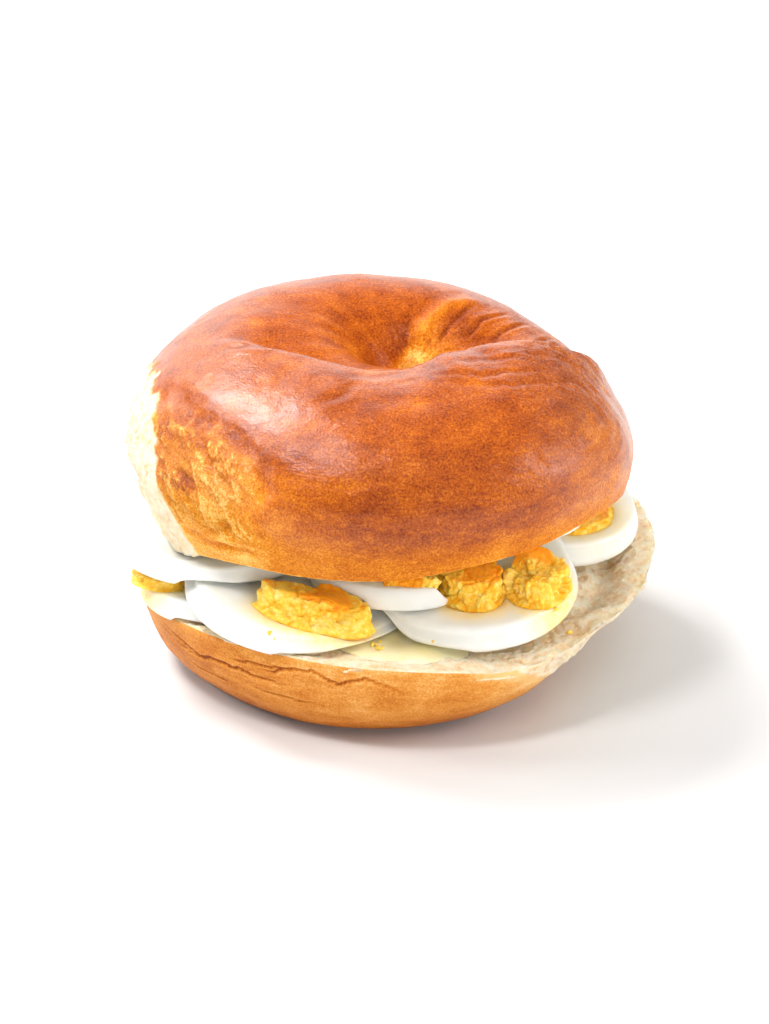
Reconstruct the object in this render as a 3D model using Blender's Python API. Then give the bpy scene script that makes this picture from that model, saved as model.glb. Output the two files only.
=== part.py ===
"""A bagel cut in two and filled with slices of hard-boiled egg on a thin butter spread.

Metres, +Z up. The origin is under the middle of the sandwich, on the surface that it stands on.
-Y is the open front, where most of the egg shows. Angles go round the bagel from +X, so that
270 degrees is the front. Lengths in the tables below are millimetres.
"""

import bmesh
import bpy
import numpy as np

MM = 0.001

# Driving dimensions.
GAP = 0.3
ROOM = 0.15
HOLE_RADIUS = 4.7
HOLE = (2.7, 4.5)
THROAT_Z = 57.0
CUT_MIDDLE_Z = 38.2
HEEL_MIDDLE_Z = 18.5
SPREAD_THICKNESS = 0.8
DISH_DEPTH = 2.4

# What is taken from every x and y, so that the origin is under the middle of the whole.
MIDDLE = (-0.63, 0.37)

# How finely the solids are cut: steps round the bagel, an egg slice and a yolk.
CROWN_STEPS = 84
HEEL_STEPS = 72
SPREAD_STEPS = 44
SLICE_STEPS = 28
YOLK_STEPS = 18

# The grid in plan that holds the height of what has been laid so far: half its side, its step, and
# the height that stands for nothing.
PILE_HALF = 62.0
PILE_STEP = 0.5
NOTHING = -60.0
# How many steps of the grid a slice, a lump of yolk and the shard bend over before an edge under them.
SLICE_REACH = 6
YOLK_REACH = 1
SHARD_REACH = 1
# The least thickness that a slice is pressed to.
LEAST_WHITE = 1.6
LEAST_YOLK = 0.8
# How much more than its room needs a piece is bent, at most, so that its flat facets clear too.
MOST_BEND = 2.5

CRUST_BROWN = (0.56, 0.25, 0.09)
CRUST_TAN = (0.66, 0.36, 0.15)
BUTTER = (0.87, 0.76, 0.45)
EGG_WHITE = (0.91, 0.91, 0.86)
YOLK = (0.93, 0.62, 0.16)

# The crown's outline, by angle: radius and height of its widest line, of its cut edge and of its crest.
CROWN_WIDEST = {0: 50.0, 45: 50.5, 90: 51.5, 135: 53.0, 180: 54.0, 200: 54.2, 225: 52.8, 270: 52.0, 315: 51.5}
CROWN_WIDEST_Z = {0: 46.0, 45: 47.5, 90: 50.0, 180: 50.0, 225: 48.5, 270: 49.0, 315: 50.0}
CROWN_EDGE = {0: 49.0, 90: 48.5, 150: 47.0, 180: 46.4, 200: 46.9, 225: 48.2, 270: 49.0, 315: 49.5}
CROWN_EDGE_Z = {0: 40.5, 45: 38.5, 90: 36.5, 135: 34.0, 180: 30.0, 201: 30.5, 216: 34.3, 233: 37.0,
                250: 37.8, 270: 38.7, 290: 40.8, 305: 41.8, 322: 42.9, 343: 41.8}
CROWN_CREST = {0: 24.0, 45: 24.0, 90: 26.0, 135: 27.0, 180: 28.0, 225: 27.0, 270: 25.0, 315: 26.0}
CROWN_CREST_Z = {0: 66.8, 14: 64.6, 30: 64.2, 45: 65.8, 60: 67.7, 90: 70.3, 120: 71.0, 180: 71.0, 225: 70.5,
                 270: 70.5, 315: 70.0, 345: 68.6}

# How round the crown's shoulder is: under 1 is full, over 1 sloping.
CROWN_SLOPE = {0: 1.2, 45: 1.08, 90: 0.95, 180: 0.94, 270: 0.9, 315: 1.0, 345: 1.12}

# The heel's outline, by angle: radius and height of its cut rim, and radius of its flat foot.
HEEL_RIM = {0: 54.4, 9: 55.6, 20: 56.2, 45: 54.2, 90: 52.5, 135: 52.0, 180: 52.2, 214: 51.0, 240: 50.5, 270: 51.0,
            300: 51.5, 330: 52.0}
HEEL_RIM_Z = {0: 20.8, 22: 23.8, 45: 23.5, 90: 21.0, 135: 18.5, 180: 15.8, 193: 16.3, 214: 19.0, 240: 20.3,
              270: 19.6, 283: 18.6, 297: 16.9, 312: 17.6, 327: 19.2, 343: 19.2}
HEEL_FOOT = {0: 25.0, 45: 28.0, 90: 33.0, 180: 37.0, 225: 37.0, 270: 34.5, 300: 29.0, 330: 24.0}
# How much the heel's side runs straight down to its foot, like a cone, where it isn't round.
HEEL_CONE = {0: 1.0, 25: 0.4, 50: 0.0, 120: 0.0, 200: 0.0, 285: 0.0, 305: 0.4, 325: 0.9, 345: 1.1}

# How far out the butter is spread.
SPREAD_EDGE = {0: 34.0, 60: 38.0, 120: 40.0, 180: 32.0, 228: 33.0, 250: 40.0, 268: 46.5, 285: 46.5, 305: 38.0}

# Folds in the crown's crust, as points along each.
FRONT_FOLD = ((-36, 0, 68), (-29, -5, 70), (-21, -10, 69), (-15, -13, 68), (-9, -15.5, 67), (-3, -15.5, 67),
              (3, -13, 67), (13, -8, 67), (23, -3, 68), (31, 4, 66), (37, 9, 63), (44, 13, 58))
SIDE_VALLEY = ((-43.5, -18, 63), (-39.7, -23.5, 63), (-34.5, -30.6, 62.3), (-30.4, -35.5, 61.2), (-27.7, -39.9, 58),
               (-26.7, -42.9, 55))

# Each egg slice: its middle and the height of its underside there, its radius, how many degrees it
# leans and towards which angle, its thickness, and the yolk that it holds, as a list of lumps: middle,
# half length, half width, angle of its length, and how far it stands proud. Lowest slices come first.
SLICES = {
    "left_low": dict(at=(-31.4, -10.8, 18.7), radius=20.8, lean=2, to=180, thickness=5.0, top=0.92,
                     yolks=[((-43.5, -12.0), 11.0, 9.3, 30, 2.0)]),
    "back_left": dict(at=(-22.6, 29.2, 20.4), radius=18.0, lean=0, to=0, thickness=5.2, top=0.93,
                      yolks=[((-23.0, 29.8), 10.5, 9.5, 0, 0.3)]),
    "back_right": dict(at=(14.4, 31.0, 21.4), radius=17.8, lean=0, to=0, thickness=5.2, top=0.93,
                       yolks=[((14.8, 31.6), 9.8, 10.0, 0, 0.3)]),
    "right": dict(at=(31.6, 10.2, 24.6), radius=20.0, lean=8, to=-45, thickness=5.2, top=0.92,
                  yolks=[((36.5, 6.0), 11.0, 10.5, 40, 0.6)]),
    "front_left": dict(at=(-19.2, -22.6, 21.8), radius=23.2, lean=9, to=-40, thickness=4.7, top=0.87,
                       yolks=[((-15.8, -37.4), 12.6, 4.6, -15, 5.2)]),
    "front_right": dict(at=(15.4, -20.7, 23.4), radius=22.5, lean=10, to=-90, thickness=5.4, top=0.91,
                        yolks=[((15.6, -30.0), 7.8, 6.4, -30, 5.0), ((29.4, -28.2), 6.8, 7.9, -10, 5.2)]),
    "left_high": dict(at=(-34.6, -8.2, 27.5), radius=21.5, lean=3.5, to=170, thickness=4.0, top=0.94,
                      yolks=[]),
    "back_middle": dict(at=(-4.6, 32.6, 27.4), radius=18.6, lean=0, to=0, thickness=4.4, top=0.94,
                        yolks=[((-4.4, 33.4), 10.0, 9.6, 0, 0.0)]),
    "back_top": dict(at=(11.6, 32.4, 32.3), radius=17.4, lean=0, to=0, thickness=3.5, top=0.94,
                     yolks=[((11.8, 33.0), 8.8, 8.8, 0, 0.0)]),
    "right_top": dict(at=(24.0, -9.0, 35.3), radius=16.5, lean=0, to=0, thickness=3.6, top=0.92,
                      yolks=[((24.0, -8.0), 8.0, 8.5, 0, 0.0)]),
}

# The broken piece of white that lies across the two front slices: a part of a ring.
SHARD = dict(middle=(1.5, -17.8, 26.8), inner=(9.5, 18.6), outer=20.8, start=205, end=299, thickness=3.4,
             before="left_high")


def around(keys, angle):
    """A smooth value at any angle, through keys {degrees: value} that repeat every turn."""
    degrees = np.array(sorted(keys), float)
    values = np.array([keys[d] for d in sorted(keys)], float)
    angle = np.asarray(angle, float) % 360
    left = (np.searchsorted(degrees, angle, side="right") - 1) % len(degrees)
    right = (left + 1) % len(degrees)
    span = (np.roll(degrees, -1) - degrees) % 360
    slope = (np.roll(values, -1) - np.roll(values, 1)) / (span + np.roll(span, 1))
    u = ((angle - degrees[left]) % 360) / span[left]
    return (
        values[left] * (2 * u**3 - 3 * u**2 + 1)
        + slope[left] * span[left] * (u**3 - 2 * u**2 + u)
        + values[right] * (3 * u**2 - 2 * u**3)
        + slope[right] * span[left] * (u**3 - u**2)
    )


def mix(a, b, share):
    return a + (b - a) * share


def smooth(share):
    share = np.clip(share, 0, 1)
    return share * share * (3 - 2 * share)


def place(angle, rho, z, share):
    """Points at a radius and height round an axis that is moved by a share of the way to the hole."""
    turn = np.radians(angle)
    x = HOLE[0] * share + rho * np.cos(turn)
    y = HOLE[1] * share + rho * np.sin(turn)
    return np.stack(np.broadcast_arrays(x, y, z), -1)


def bumps(points, size, seed):
    """Smooth random values from -1 to 1 in space, with bumps of about the given size."""
    cell = np.floor(points / size).astype(np.int64)
    part = points / size - cell
    part = part * part * (3 - 2 * part)
    total = np.zeros(points.shape[:-1])
    for corner in np.ndindex(2, 2, 2):
        at = cell + np.array(corner)
        key = at[..., 0] * 73856093 ^ at[..., 1] * 19349663 ^ at[..., 2] * 83492791 ^ seed * 2654435761
        key = key & 0xFFFFFFFF
        key = (key ^ key >> 13) * 1274126177 & 0xFFFFFFFF
        value = ((key ^ key >> 16) & 0xFFFF) / 32767.5 - 1
        weight = np.where(np.array(corner) == 1, part, 1 - part).prod(-1)
        total += value * weight
    return total


def near_line(points, line):
    """For each point: its distance from a line of points, and how far to the line's left it lies in plan."""
    line = np.array(line, float)
    best = np.full(points.shape[:-1], np.inf)
    left = np.zeros(points.shape[:-1])
    for a, b in zip(line, line[1:]):
        along = b - a
        share = np.clip(((points - a) @ along) / (along @ along), 0, 1)
        off = points - (a + share[..., None] * along)
        distance = np.linalg.norm(off, axis=-1)
        side = (along[0] * off[..., 1] - along[1] * off[..., 0]) / np.hypot(along[0], along[1])
        nearer = distance < best
        best = np.where(nearer, distance, best)
        left = np.where(nearer, side, left)
    return best, left


def crown_under(x, y):
    """The height of the crown's cut face."""
    angle = np.degrees(np.arctan2(y, x))
    edge_z = around(CROWN_EDGE_Z, angle)
    share = np.clip(1 - np.hypot(x, y) / around(CROWN_EDGE, angle), 0, 1)
    return mix(edge_z, CUT_MIDDLE_Z, 1 - (1 - share) ** 1.6)


def heel_top(x, y):
    """The height of the heel's cut face, with the torn hollow at its right."""
    angle = np.degrees(np.arctan2(y, x)) % 360
    rho = np.hypot(x, y)
    rim_z = around(HEEL_RIM_Z, angle)
    share = np.clip(1 - rho / around(HEEL_RIM, angle), 0, 1)
    hollow = np.exp(-(((rho - 44) / 3.2) ** 2)) * np.exp(-((((angle - 348 + 180) % 360 - 180) / 20) ** 2))
    return mix(rim_z, HEEL_MIDDLE_Z, 1 - (1 - share) ** 1.8) - 2.2 * hollow


def crown_relief(points):
    """How far the crown's crust stands out at each point: its folds, valley and uneven swelling."""
    x = points[..., 0]
    away, left = near_line(points, FRONT_FOLD)
    rightward = smooth((x - 1) / 13) * smooth((48 - x) / 10)
    leftward = smooth((-x - 4) / 8) * smooth((x + 40) / 12)
    lip = (3.2 * rightward + 1.3 * leftward) * smooth(0.5 - left / 3.5) * np.exp(-((away / 11) ** 2))
    trough = smooth((x + 33) / 12) * smooth((46 - x) / 8) * smooth((np.abs(x - 1) - 4) / 8)
    trough *= -3.0 * smooth((left + 0.5) / 3) * np.exp(-((away / 7) ** 2))
    away, left = near_line(points, SIDE_VALLEY)
    valley = -1.3 * np.exp(-((away / 3.2) ** 2))
    return lip + trough + valley + 0.5 * bumps(points, 17, 3) + 0.25 * bumps(points, 8, 4)


def crown_skin(angle, t):
    """Points of the crown's crust: t is 0 in the throat, 1 on the crest, 2 where widest, 3 at the cut."""
    angle, t = np.broadcast_arrays(np.asarray(angle, float), np.asarray(t, float))
    crest, crest_z = around(CROWN_CREST, angle), around(CROWN_CREST_Z, angle)
    widest, widest_z = around(CROWN_WIDEST, angle), around(CROWN_WIDEST_Z, angle)
    edge, edge_z = around(CROWN_EDGE, angle), around(CROWN_EDGE_Z, angle)
    rise = np.clip(t, 0, 1) * np.pi / 2
    fall = np.clip(t - 1, 0, 1) * np.pi / 2
    tuck = np.clip(t - 2, 0, 1) * np.pi / 2
    rho = crest - (crest - HOLE_RADIUS) * np.cos(rise)
    slope = around(CROWN_SLOPE, angle)
    rho = rho + (widest - crest) * np.sin(fall) ** slope - (widest - edge) * np.sin(tuck) ** 1.4
    z = THROAT_Z + (crest_z - THROAT_Z) * np.sin(rise)
    z = z - (crest_z - widest_z) * (1 - np.cos(fall) ** (slope * 0.95)) - (widest_z - edge_z) * np.sin(tuck)
    points = place(angle, rho, z, np.clip(1 - t / 2, 0, 1))
    core = place(angle, crest, mix(widest_z, crest_z, 0.2), np.clip(1 - t / 2, 0, 1))
    out = points - core
    out /= np.linalg.norm(out, axis=-1, keepdims=True)
    fade = smooth(t / 0.4) * smooth((3 - t) / 0.35)
    return points + out * (crown_relief(points) * fade)[..., None]


def cut_face(height, edge, inner, angle, share):
    """Points of a cut face: share is 0 at its outer edge and 1 at the hole."""
    rho = mix(around(edge, angle), inner, share)
    points = place(angle, rho, 0.0, share)
    points[..., 2] = height(points[..., 0], points[..., 1])
    return points


def heel_side(angle, t):
    """Points of the heel's crust: t is 0 at the foot's edge and 1 at the cut rim."""
    angle, t = np.broadcast_arrays(np.asarray(angle, float), np.asarray(t, float))
    rim, foot = around(HEEL_RIM, angle), around(HEEL_FOOT, angle)
    turn = t * np.pi / 2
    share = mix(np.sin(turn), (1 - np.cos(turn)) ** 0.6, around(HEEL_CONE, angle))
    rho = foot + (rim - foot) * share
    z = around(HEEL_RIM_Z, angle) * (1 - np.cos(turn))
    points = place(angle, rho, z, 0)
    swell = (0.5 * bumps(points, 15, 7) + 0.2 * bumps(points, 7, 8)) * np.sin(t * np.pi)
    points[..., :2] *= (1 + swell / rho)[..., None]
    return points


def tilted(spec, x, y):
    """The height of a slice's flat underside, before it sags on what it lies on."""
    cx, cy, cz = spec["at"]
    to = np.radians(spec["to"])
    slope = np.tan(np.radians(spec["lean"]))
    return cz - slope * ((x - cx) * np.cos(to) + (y - cy) * np.sin(to))


def underside(name, room, x, y):
    """The height of a slice's underside: flat where nothing under or over it presses on it."""
    bed, ceiling = room
    roof = height_at(ceiling, x, y) - SLICES[name]["thickness"]
    return np.maximum(np.minimum(tilted(SLICES[name], x, y), roof), height_at(bed, x, y))


def topside(name, room, x, y):
    """The height of a slice's upper face, without its dish."""
    bed, ceiling = room
    flat = tilted(SLICES[name], x, y) + SLICES[name]["thickness"]
    return np.minimum(np.maximum(flat, height_at(bed, x, y) + LEAST_WHITE), height_at(ceiling, x, y))


def dish(name, x, y):
    """How far the upper face is dished under the yolk."""
    depth = 0
    for (cx, cy), length, width, turn, proud in SLICES[name]["yolks"]:
        u, v = lump_axes(x - cx, y - cy, turn)
        inside = np.clip(1 - (u / (length + 4)) ** 2 - (v / (width + 4)) ** 2, 0, 1)
        depth = np.maximum(depth, DISH_DEPTH * smooth(inside))
    return depth


def lump_axes(dx, dy, turn):
    c, s = np.cos(np.radians(turn)), np.sin(np.radians(turn))
    return dx * c + dy * s, dy * c - dx * s


def yolk_bottom(name, slice_room, room, x, y):
    """The height of a yolk's underside, in its slice's dish."""
    dished = topside(name, slice_room, x, y) - dish(name, x, y) + GAP
    return np.maximum(dished, height_at(room[0], x, y))


def yolk_top(name, slice_room, lump, room, x, y):
    """The height of a yolk's broken upper face."""
    (cx, cy), length, width, turn, proud = SLICES[name]["yolks"][lump]
    flat = np.stack([x, y, np.zeros_like(x)], -1)
    crumbs = (0.25 + 0.12 * proud) * bumps(flat, 4.5, 21 + lump)
    high = np.minimum(topside(name, slice_room, x, y) + proud + crumbs, height_at(room[1], x, y))
    return np.maximum(high, yolk_bottom(name, slice_room, room, x, y) + LEAST_YOLK)


def empty_pile():
    side = int(2 * PILE_HALF / PILE_STEP) + 1
    return np.full((side, side), NOTHING)


def facet_heights(points, faces, pick, start):
    """The greatest or the least height of a solid's triangles at each point of the pile's grid."""
    heights = np.full_like(empty_pile(), start)
    cells = (points[:, :2] + PILE_HALF) / PILE_STEP
    for face in faces:
        (ax, ay), (bx, by), (cx, cy) = cells[list(face)]
        area = (bx - ax) * (cy - ay) - (cx - ax) * (by - ay)
        if abs(area) < 1e-6:
            continue
        i, j = np.mgrid[
            int(np.ceil(min(ax, bx, cx))) : int(max(ax, bx, cx)) + 1,
            int(np.ceil(min(ay, by, cy))) : int(max(ay, by, cy)) + 1,
        ]
        b = ((i - ax) * (cy - ay) - (cx - ax) * (j - ay)) / area
        c = ((bx - ax) * (j - ay) - (i - ax) * (by - ay)) / area
        inside = (b >= -1e-6) & (c >= -1e-6) & (b + c <= 1 + 1e-6)
        az, bz, cz = points[list(face), 2]
        z = az + (bz - az) * b + (cz - az) * c
        i, j = i[inside], j[inside]
        heights[i, j] = pick(heights[i, j], z[inside])
    return heights


def shifted(field, reach):
    """The field moved by every step that is within the reach."""
    side = field.shape[0]
    wide = np.pad(field, reach, mode="edge")
    for i in range(-reach, reach + 1):
        for j in range(-reach, reach + 1):
            if i * i + j * j <= reach * reach:
                yield wide[reach + i : reach + i + side, reach + j : reach + j + side]


def widened(field, reach):
    """For each point of the grid, the greatest height within the reach."""
    best = field
    for moved in shifted(field, reach):
        best = np.maximum(best, moved)
    return best


def eased(field, reach):
    """For each point of the grid, the mean height within the reach."""
    moved = list(shifted(field, reach))
    return sum(moved) / len(moved)


def height_at(field, x, y):
    """The height of a field between the points of its grid."""
    i = np.clip((np.asarray(x, float) + PILE_HALF) / PILE_STEP, 0, field.shape[0] - 1.001)
    j = np.clip((np.asarray(y, float) + PILE_HALF) / PILE_STEP, 0, field.shape[0] - 1.001)
    i0, j0 = np.floor(i).astype(int), np.floor(j).astype(int)
    u, v = i - i0, j - j0
    near = mix(field[i0, j0], field[i0, j0 + 1], v)
    far = mix(field[i0 + 1, j0], field[i0 + 1, j0 + 1], v)
    return mix(near, far, u)


def laid(pile, roof, shape, reach):
    """A piece's room, points and triangles, bent so that it clears the pile under it and the roof over it.

    Its room is the lowest height of its underside and the greatest of its upper face.
    """
    bed = eased(widened(pile, reach + 2), reach) + GAP + ROOM
    ceiling = -eased(widened(-roof, reach + 2), reach) - GAP - ROOM
    least = widened(pile, 1) + GAP
    most = -widened(-roof, 1) - GAP
    top_bed, low_ceiling = bed + MOST_BEND, ceiling - MOST_BEND
    for attempt in range(12):
        points, faces = shape((bed, ceiling))
        lowest = facet_heights(points, faces, np.minimum, 1000.0)
        highest = facet_heights(points, faces, np.maximum, NOTHING)
        short = np.maximum(least - lowest, 0)
        over = np.maximum(highest - most, 0)
        if max(short.max(), over.max()) < 0.02:
            break
        bed = np.minimum(bed + 1.1 * eased(widened(short, reach + 2), 2), top_bed)
        ceiling = np.maximum(ceiling - 1.1 * eased(widened(over, reach + 2), 2), low_ceiling)
    return (bed, ceiling), points, faces


def stacked(pile, points, faces):
    """The pile with one more solid on it."""
    return np.maximum(pile, facet_heights(points, faces, np.maximum, NOTHING))


def material(name, colour, roughness):
    made = bpy.data.materials.new(name)
    made.use_nodes = True
    shader = made.node_tree.nodes["Principled BSDF"]
    shader.inputs["Base Color"].default_value = (*colour, 1)
    shader.inputs["Roughness"].default_value = roughness
    return made


def solid(name, points, faces, finish):
    """One named object from points in millimetres and triangles, with its faces pointing out."""
    points = (np.asarray(points) - (*MIDDLE, 0)) * MM
    mesh = bpy.data.meshes.new(name)
    mesh.from_pydata([tuple(p) for p in points], [], faces)
    mesh.materials.append(finish)
    work = bmesh.new()
    work.from_mesh(mesh)
    bmesh.ops.recalc_face_normals(work, faces=work.faces)
    work.to_mesh(mesh)
    work.free()
    mesh.shade_smooth()
    made = bpy.data.objects.new(name, mesh)
    bpy.context.scene.collection.objects.link(made)
    return made


def fans(faces):
    """Every face cut into triangles from its first corner."""
    return [(face[0], b, c) for face in faces for b, c in zip(face[1:], face[2:])]


def ring(rows):
    """Points and triangles of a ring from its closed sections: steps round, points in each, 3."""
    n, m = rows.shape[:2]
    faces = [
        (i * m + j, i * m + (j + 1) % m, (i + 1) % n * m + (j + 1) % m, (i + 1) % n * m + j)
        for i in range(n)
        for j in range(m)
    ]
    return rows.reshape(-1, 3), fans(faces)


def lens(rings, bottom, top):
    """Points and triangles from rings that go from the middle of the underside up to that of the top."""
    n, m = rings.shape[:2]
    points = np.concatenate([rings.reshape(-1, 3), [bottom, top]])
    faces = [
        (i * m + j, i * m + (j + 1) % m, (i + 1) * m + (j + 1) % m, (i + 1) * m + j)
        for i in range(n - 1)
        for j in range(m)
    ]
    faces += [(n * m, (j + 1) % m, j) for j in range(m)]
    faces += [(n * m + 1, (n - 1) * m + j, (n - 1) * m + (j + 1) % m) for j in range(m)]
    return points, fans(faces)


def steps(count):
    return np.arange(count)[:, None] * 360 / count


def crown_shape():
    angle = steps(CROWN_STEPS)
    skin = crown_skin(angle, np.linspace(0, 3, 17))
    cut = cut_face(crown_under, CROWN_EDGE, HOLE_RADIUS * 1.2, angle, np.array([0.08, 0.35, 0.7, 1.0]))
    return ring(np.concatenate([skin, cut], axis=1))


def heel_shape():
    angle = steps(HEEL_STEPS)
    foot = around(HEEL_FOOT, angle)
    under = place(angle, mix(HOLE_RADIUS * 1.5, foot, np.array([0, 0.6])), 0, np.array([1.0, 0.4]))
    side = heel_side(angle, np.linspace(0, 1, 9))
    cut = cut_face(heel_top, HEEL_RIM, HOLE_RADIUS * 1.2, angle, np.array([0.07, 0.16, 0.26, 0.6, 1.0]))
    return ring(np.concatenate([under, side, cut], axis=1))


def spread_shape():
    """The butter, a thin uneven skin on the heel's cut face."""
    angle = steps(SPREAD_STEPS)
    edge = around(SPREAD_EDGE, angle) + 0.8 * bumps(place(angle, 40.0, 0.0, 0), 9, 5)
    inner = HOLE_RADIUS * 1.2 + 2.5
    rows = []
    for share, up in ((0, 0), (0.25, 0), (0.6, 0), (1, 0), (1, 1), (0.6, 1), (0.25, 1), (0.01, 1)):
        points = place(angle, mix(edge, inner, share), 0.0, share)
        height = GAP + SPREAD_THICKNESS * up
        points[..., 2] = heel_top(points[..., 0], points[..., 1]) + height
        rows.append(points)
    return ring(np.concatenate(rows, axis=1))


def white_shape(name, room):
    """One slice of egg white, thick at its rim and dished under its yolk."""
    spec = SLICES[name]
    angle = np.arange(SLICE_STEPS) * 360 / SLICE_STEPS
    cx, cy, cz = spec["at"]
    lean = np.sin(np.radians(spec["lean"])) * spec["thickness"]
    shift = lean * np.cos(np.radians(spec["to"])), lean * np.sin(np.radians(spec["to"]))
    radius = spec["radius"] + 0.5 * bumps(place(angle, 20.0, cz * 7, 0), 14, 9)
    edge = spec["top"]
    # Radius as a share of the slice's, and height as a share of its thickness.
    under = ((0.36, 0), (0.7, 0), (0.97, 0))
    over = ((1.0, 0.2), (mix(1, edge, 0.6), 0.8), (edge - 0.03, 1), (0.65, 1), (0.32, 1))
    rings = []
    for share, up in under + over:
        x = cx + shift[0] * up + radius * share * np.cos(np.radians(angle))
        y = cy + shift[1] * up + radius * share * np.sin(np.radians(angle))
        low = underside(name, room, x, y)
        high = topside(name, room, x, y) - dish(name, x, y)
        rings.append(np.stack([x, y, mix(low, high, up)], -1))
    x, y = np.array(cx), np.array(cy)
    bottom = (cx, cy, float(underside(name, room, x, y)))
    top = (cx, cy, float(topside(name, room, x, y) - dish(name, x, y)))
    return lens(np.array(rings), bottom, top)


def yolk_shape(name, slice_room, lump, room):
    """One broken lump of yolk, lying in its slice's dish."""
    (cx, cy), length, width, turn, proud = SLICES[name]["yolks"][lump]
    angle = np.radians(np.arange(YOLK_STEPS) * 360 / YOLK_STEPS)
    broken = 1 - 0.07 * (1 + bumps(place(np.degrees(angle), 12.0, 31.0 * lump, 0), 7, 13 + lump))
    rings = []
    for share, up in ((0.5, 0), (0.9, 0), (0.98, 0.35), (0.94, 0.85), (0.8, 1), (0.4, 1)):
        u = length * share * broken * np.cos(angle)
        v = width * share * broken * np.sin(angle)
        dx, dy = lump_axes(u, v, -turn)
        x, y = cx + dx, cy + dy
        low = yolk_bottom(name, slice_room, room, x, y)
        high = yolk_top(name, slice_room, lump, room, x, y)
        rings.append(np.stack([x, y, mix(low, high, up)], -1))
    x, y = np.array(cx), np.array(cy)
    low = float(yolk_bottom(name, slice_room, room, x, y))
    high = float(yolk_top(name, slice_room, lump, room, x, y))
    return lens(np.array(rings), (cx, cy, low), (cx, cy, high))


def shard_shape(room):
    """The broken ring of white across the two front slices, thin at its left end."""
    cx, cy, cz = SHARD["middle"]
    angle = np.linspace(SHARD["start"], SHARD["end"], 15)
    end = np.abs(np.linspace(-1, 1, 15)) ** 6
    inner = np.linspace(*SHARD["inner"], 15) + 0.4 * bumps(place(angle, 14.0, 3.0, 0), 4, 31)
    outer = SHARD["outer"] - 0.8 * end
    under = ((0.1, 0), (0.5, 0), (0.93, 0))
    over = ((1, 0.35), (0.96, 0.8), (0.85, 1), (0.5, 1), (0.12, 1), (0, 0.5))
    sections = []
    for across, up in under + over:
        rho = mix(inner, outer, across)
        x = cx + rho * np.cos(np.radians(angle))
        y = cy + rho * np.sin(np.radians(angle))
        low = np.maximum(cz, height_at(room[0], x, y))
        high = np.maximum(cz + SHARD["thickness"] * (1 - 0.35 * end), low + LEAST_WHITE)
        high = np.minimum(high, height_at(room[1], x, y))
        sections.append(np.stack([x, y, mix(low, high, up)], -1))
    rows = np.array(sections).transpose(1, 0, 2)
    n, m = rows.shape[:2]
    faces = [
        (i * m + j, i * m + (j + 1) % m, (i + 1) * m + (j + 1) % m, (i + 1) * m + j)
        for i in range(n - 1)
        for j in range(m)
    ]
    faces += [tuple(range(m)), tuple(range(n * m - m, n * m))]
    return rows.reshape(-1, 3), fans(faces)


def yolk_label(name, lump):
    if len(SLICES[name]["yolks"]) == 1:
        return "yolk_" + name
    return "yolk_%s_%d" % (name, lump + 1)


def clear_scene():
    for old in list(bpy.data.objects):
        bpy.data.objects.remove(old)


def main():
    clear_scene()
    brown = material("crust_brown", CRUST_BROWN, 0.35)
    tan = material("crust_tan", CRUST_TAN, 0.6)
    butter = material("butter", BUTTER, 0.4)
    white = material("egg_white", EGG_WHITE, 0.35)
    yolk = material("yolk", YOLK, 0.7)
    crown = crown_shape()
    roof = facet_heights(*crown, np.minimum, 200.0)
    pile = empty_pile()
    for name, shape, finish in (("heel", heel_shape(), tan), ("spread", spread_shape(), butter)):
        solid(name, *shape, finish)
        pile = stacked(pile, *shape)
    for name in SLICES:
        if name == SHARD["before"]:
            room, *shard = laid(pile, roof, shard_shape, SHARD_REACH)
            solid("white_shard", *shard, white)
            pile = stacked(pile, *shard)
        slice_room, *shape = laid(pile, roof, lambda room: white_shape(name, room), SLICE_REACH)
        solid("white_" + name, *shape, white)
        pile = stacked(pile, *shape)
        base = pile
        for lump in range(len(SLICES[name]["yolks"])):
            lump_shape = lambda room: yolk_shape(name, slice_room, lump, room)
            room, *shape = laid(base, roof, lump_shape, YOLK_REACH)
            solid(yolk_label(name, lump), *shape, yolk)
            pile = stacked(pile, *shape)
    solid("crown", *crown, brown)


main()
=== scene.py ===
"""The look of the egg bagel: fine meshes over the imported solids, their materials, and the studio.

Lengths in the tables are millimetres, in the frame of part.py before its middle is taken off. The
shapes repeat the functions of part.py with finer steps, and add the wrinkles, cracks and crumbs.
"""

import bpy
import numpy as np
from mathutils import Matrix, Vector


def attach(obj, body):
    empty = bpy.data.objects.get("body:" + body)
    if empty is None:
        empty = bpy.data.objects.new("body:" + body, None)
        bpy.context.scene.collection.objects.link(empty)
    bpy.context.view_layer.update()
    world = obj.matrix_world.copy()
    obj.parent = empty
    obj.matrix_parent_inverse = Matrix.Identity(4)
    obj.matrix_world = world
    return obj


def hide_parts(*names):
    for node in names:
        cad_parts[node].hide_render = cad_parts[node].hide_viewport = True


MM = 0.001

# The driving sizes that the solids were made with.
GAP = 0.3
ROOM = 0.15
HOLE_RADIUS = 4.7
HOLE = (2.7, 4.5)
THROAT_Z = 57.0
CUT_MIDDLE_Z = 38.2
HEEL_MIDDLE_Z = 18.5
SPREAD_THICKNESS = 0.8
DISH_DEPTH = 2.4
MIDDLE = (-0.63, 0.37)

# How far round a lump of yolk the dish in its slice and the yellow stain on it reach.
DISH_LIP = 0.8
STAIN_LIP = 5.0

# The grid in plan that holds the height of what lies under and over each slice, and where it is empty.
PILE_HALF = 62.0
PILE_STEP = 0.5
NOTHING = -60.0
NO_ROOF = 200.0

# How far off, in steps of that grid, a thing still holds up or presses down each kind of piece.
SLICE_REACH = 6
YOLK_REACH = 1
SHARD_REACH = 1

# The least thickness of a slice and of a lump, and how far a lump and the butter sink into what holds them.
LEAST_WHITE = 1.6
LEAST_YOLK = 0.8
SUNK = 0.15

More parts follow.
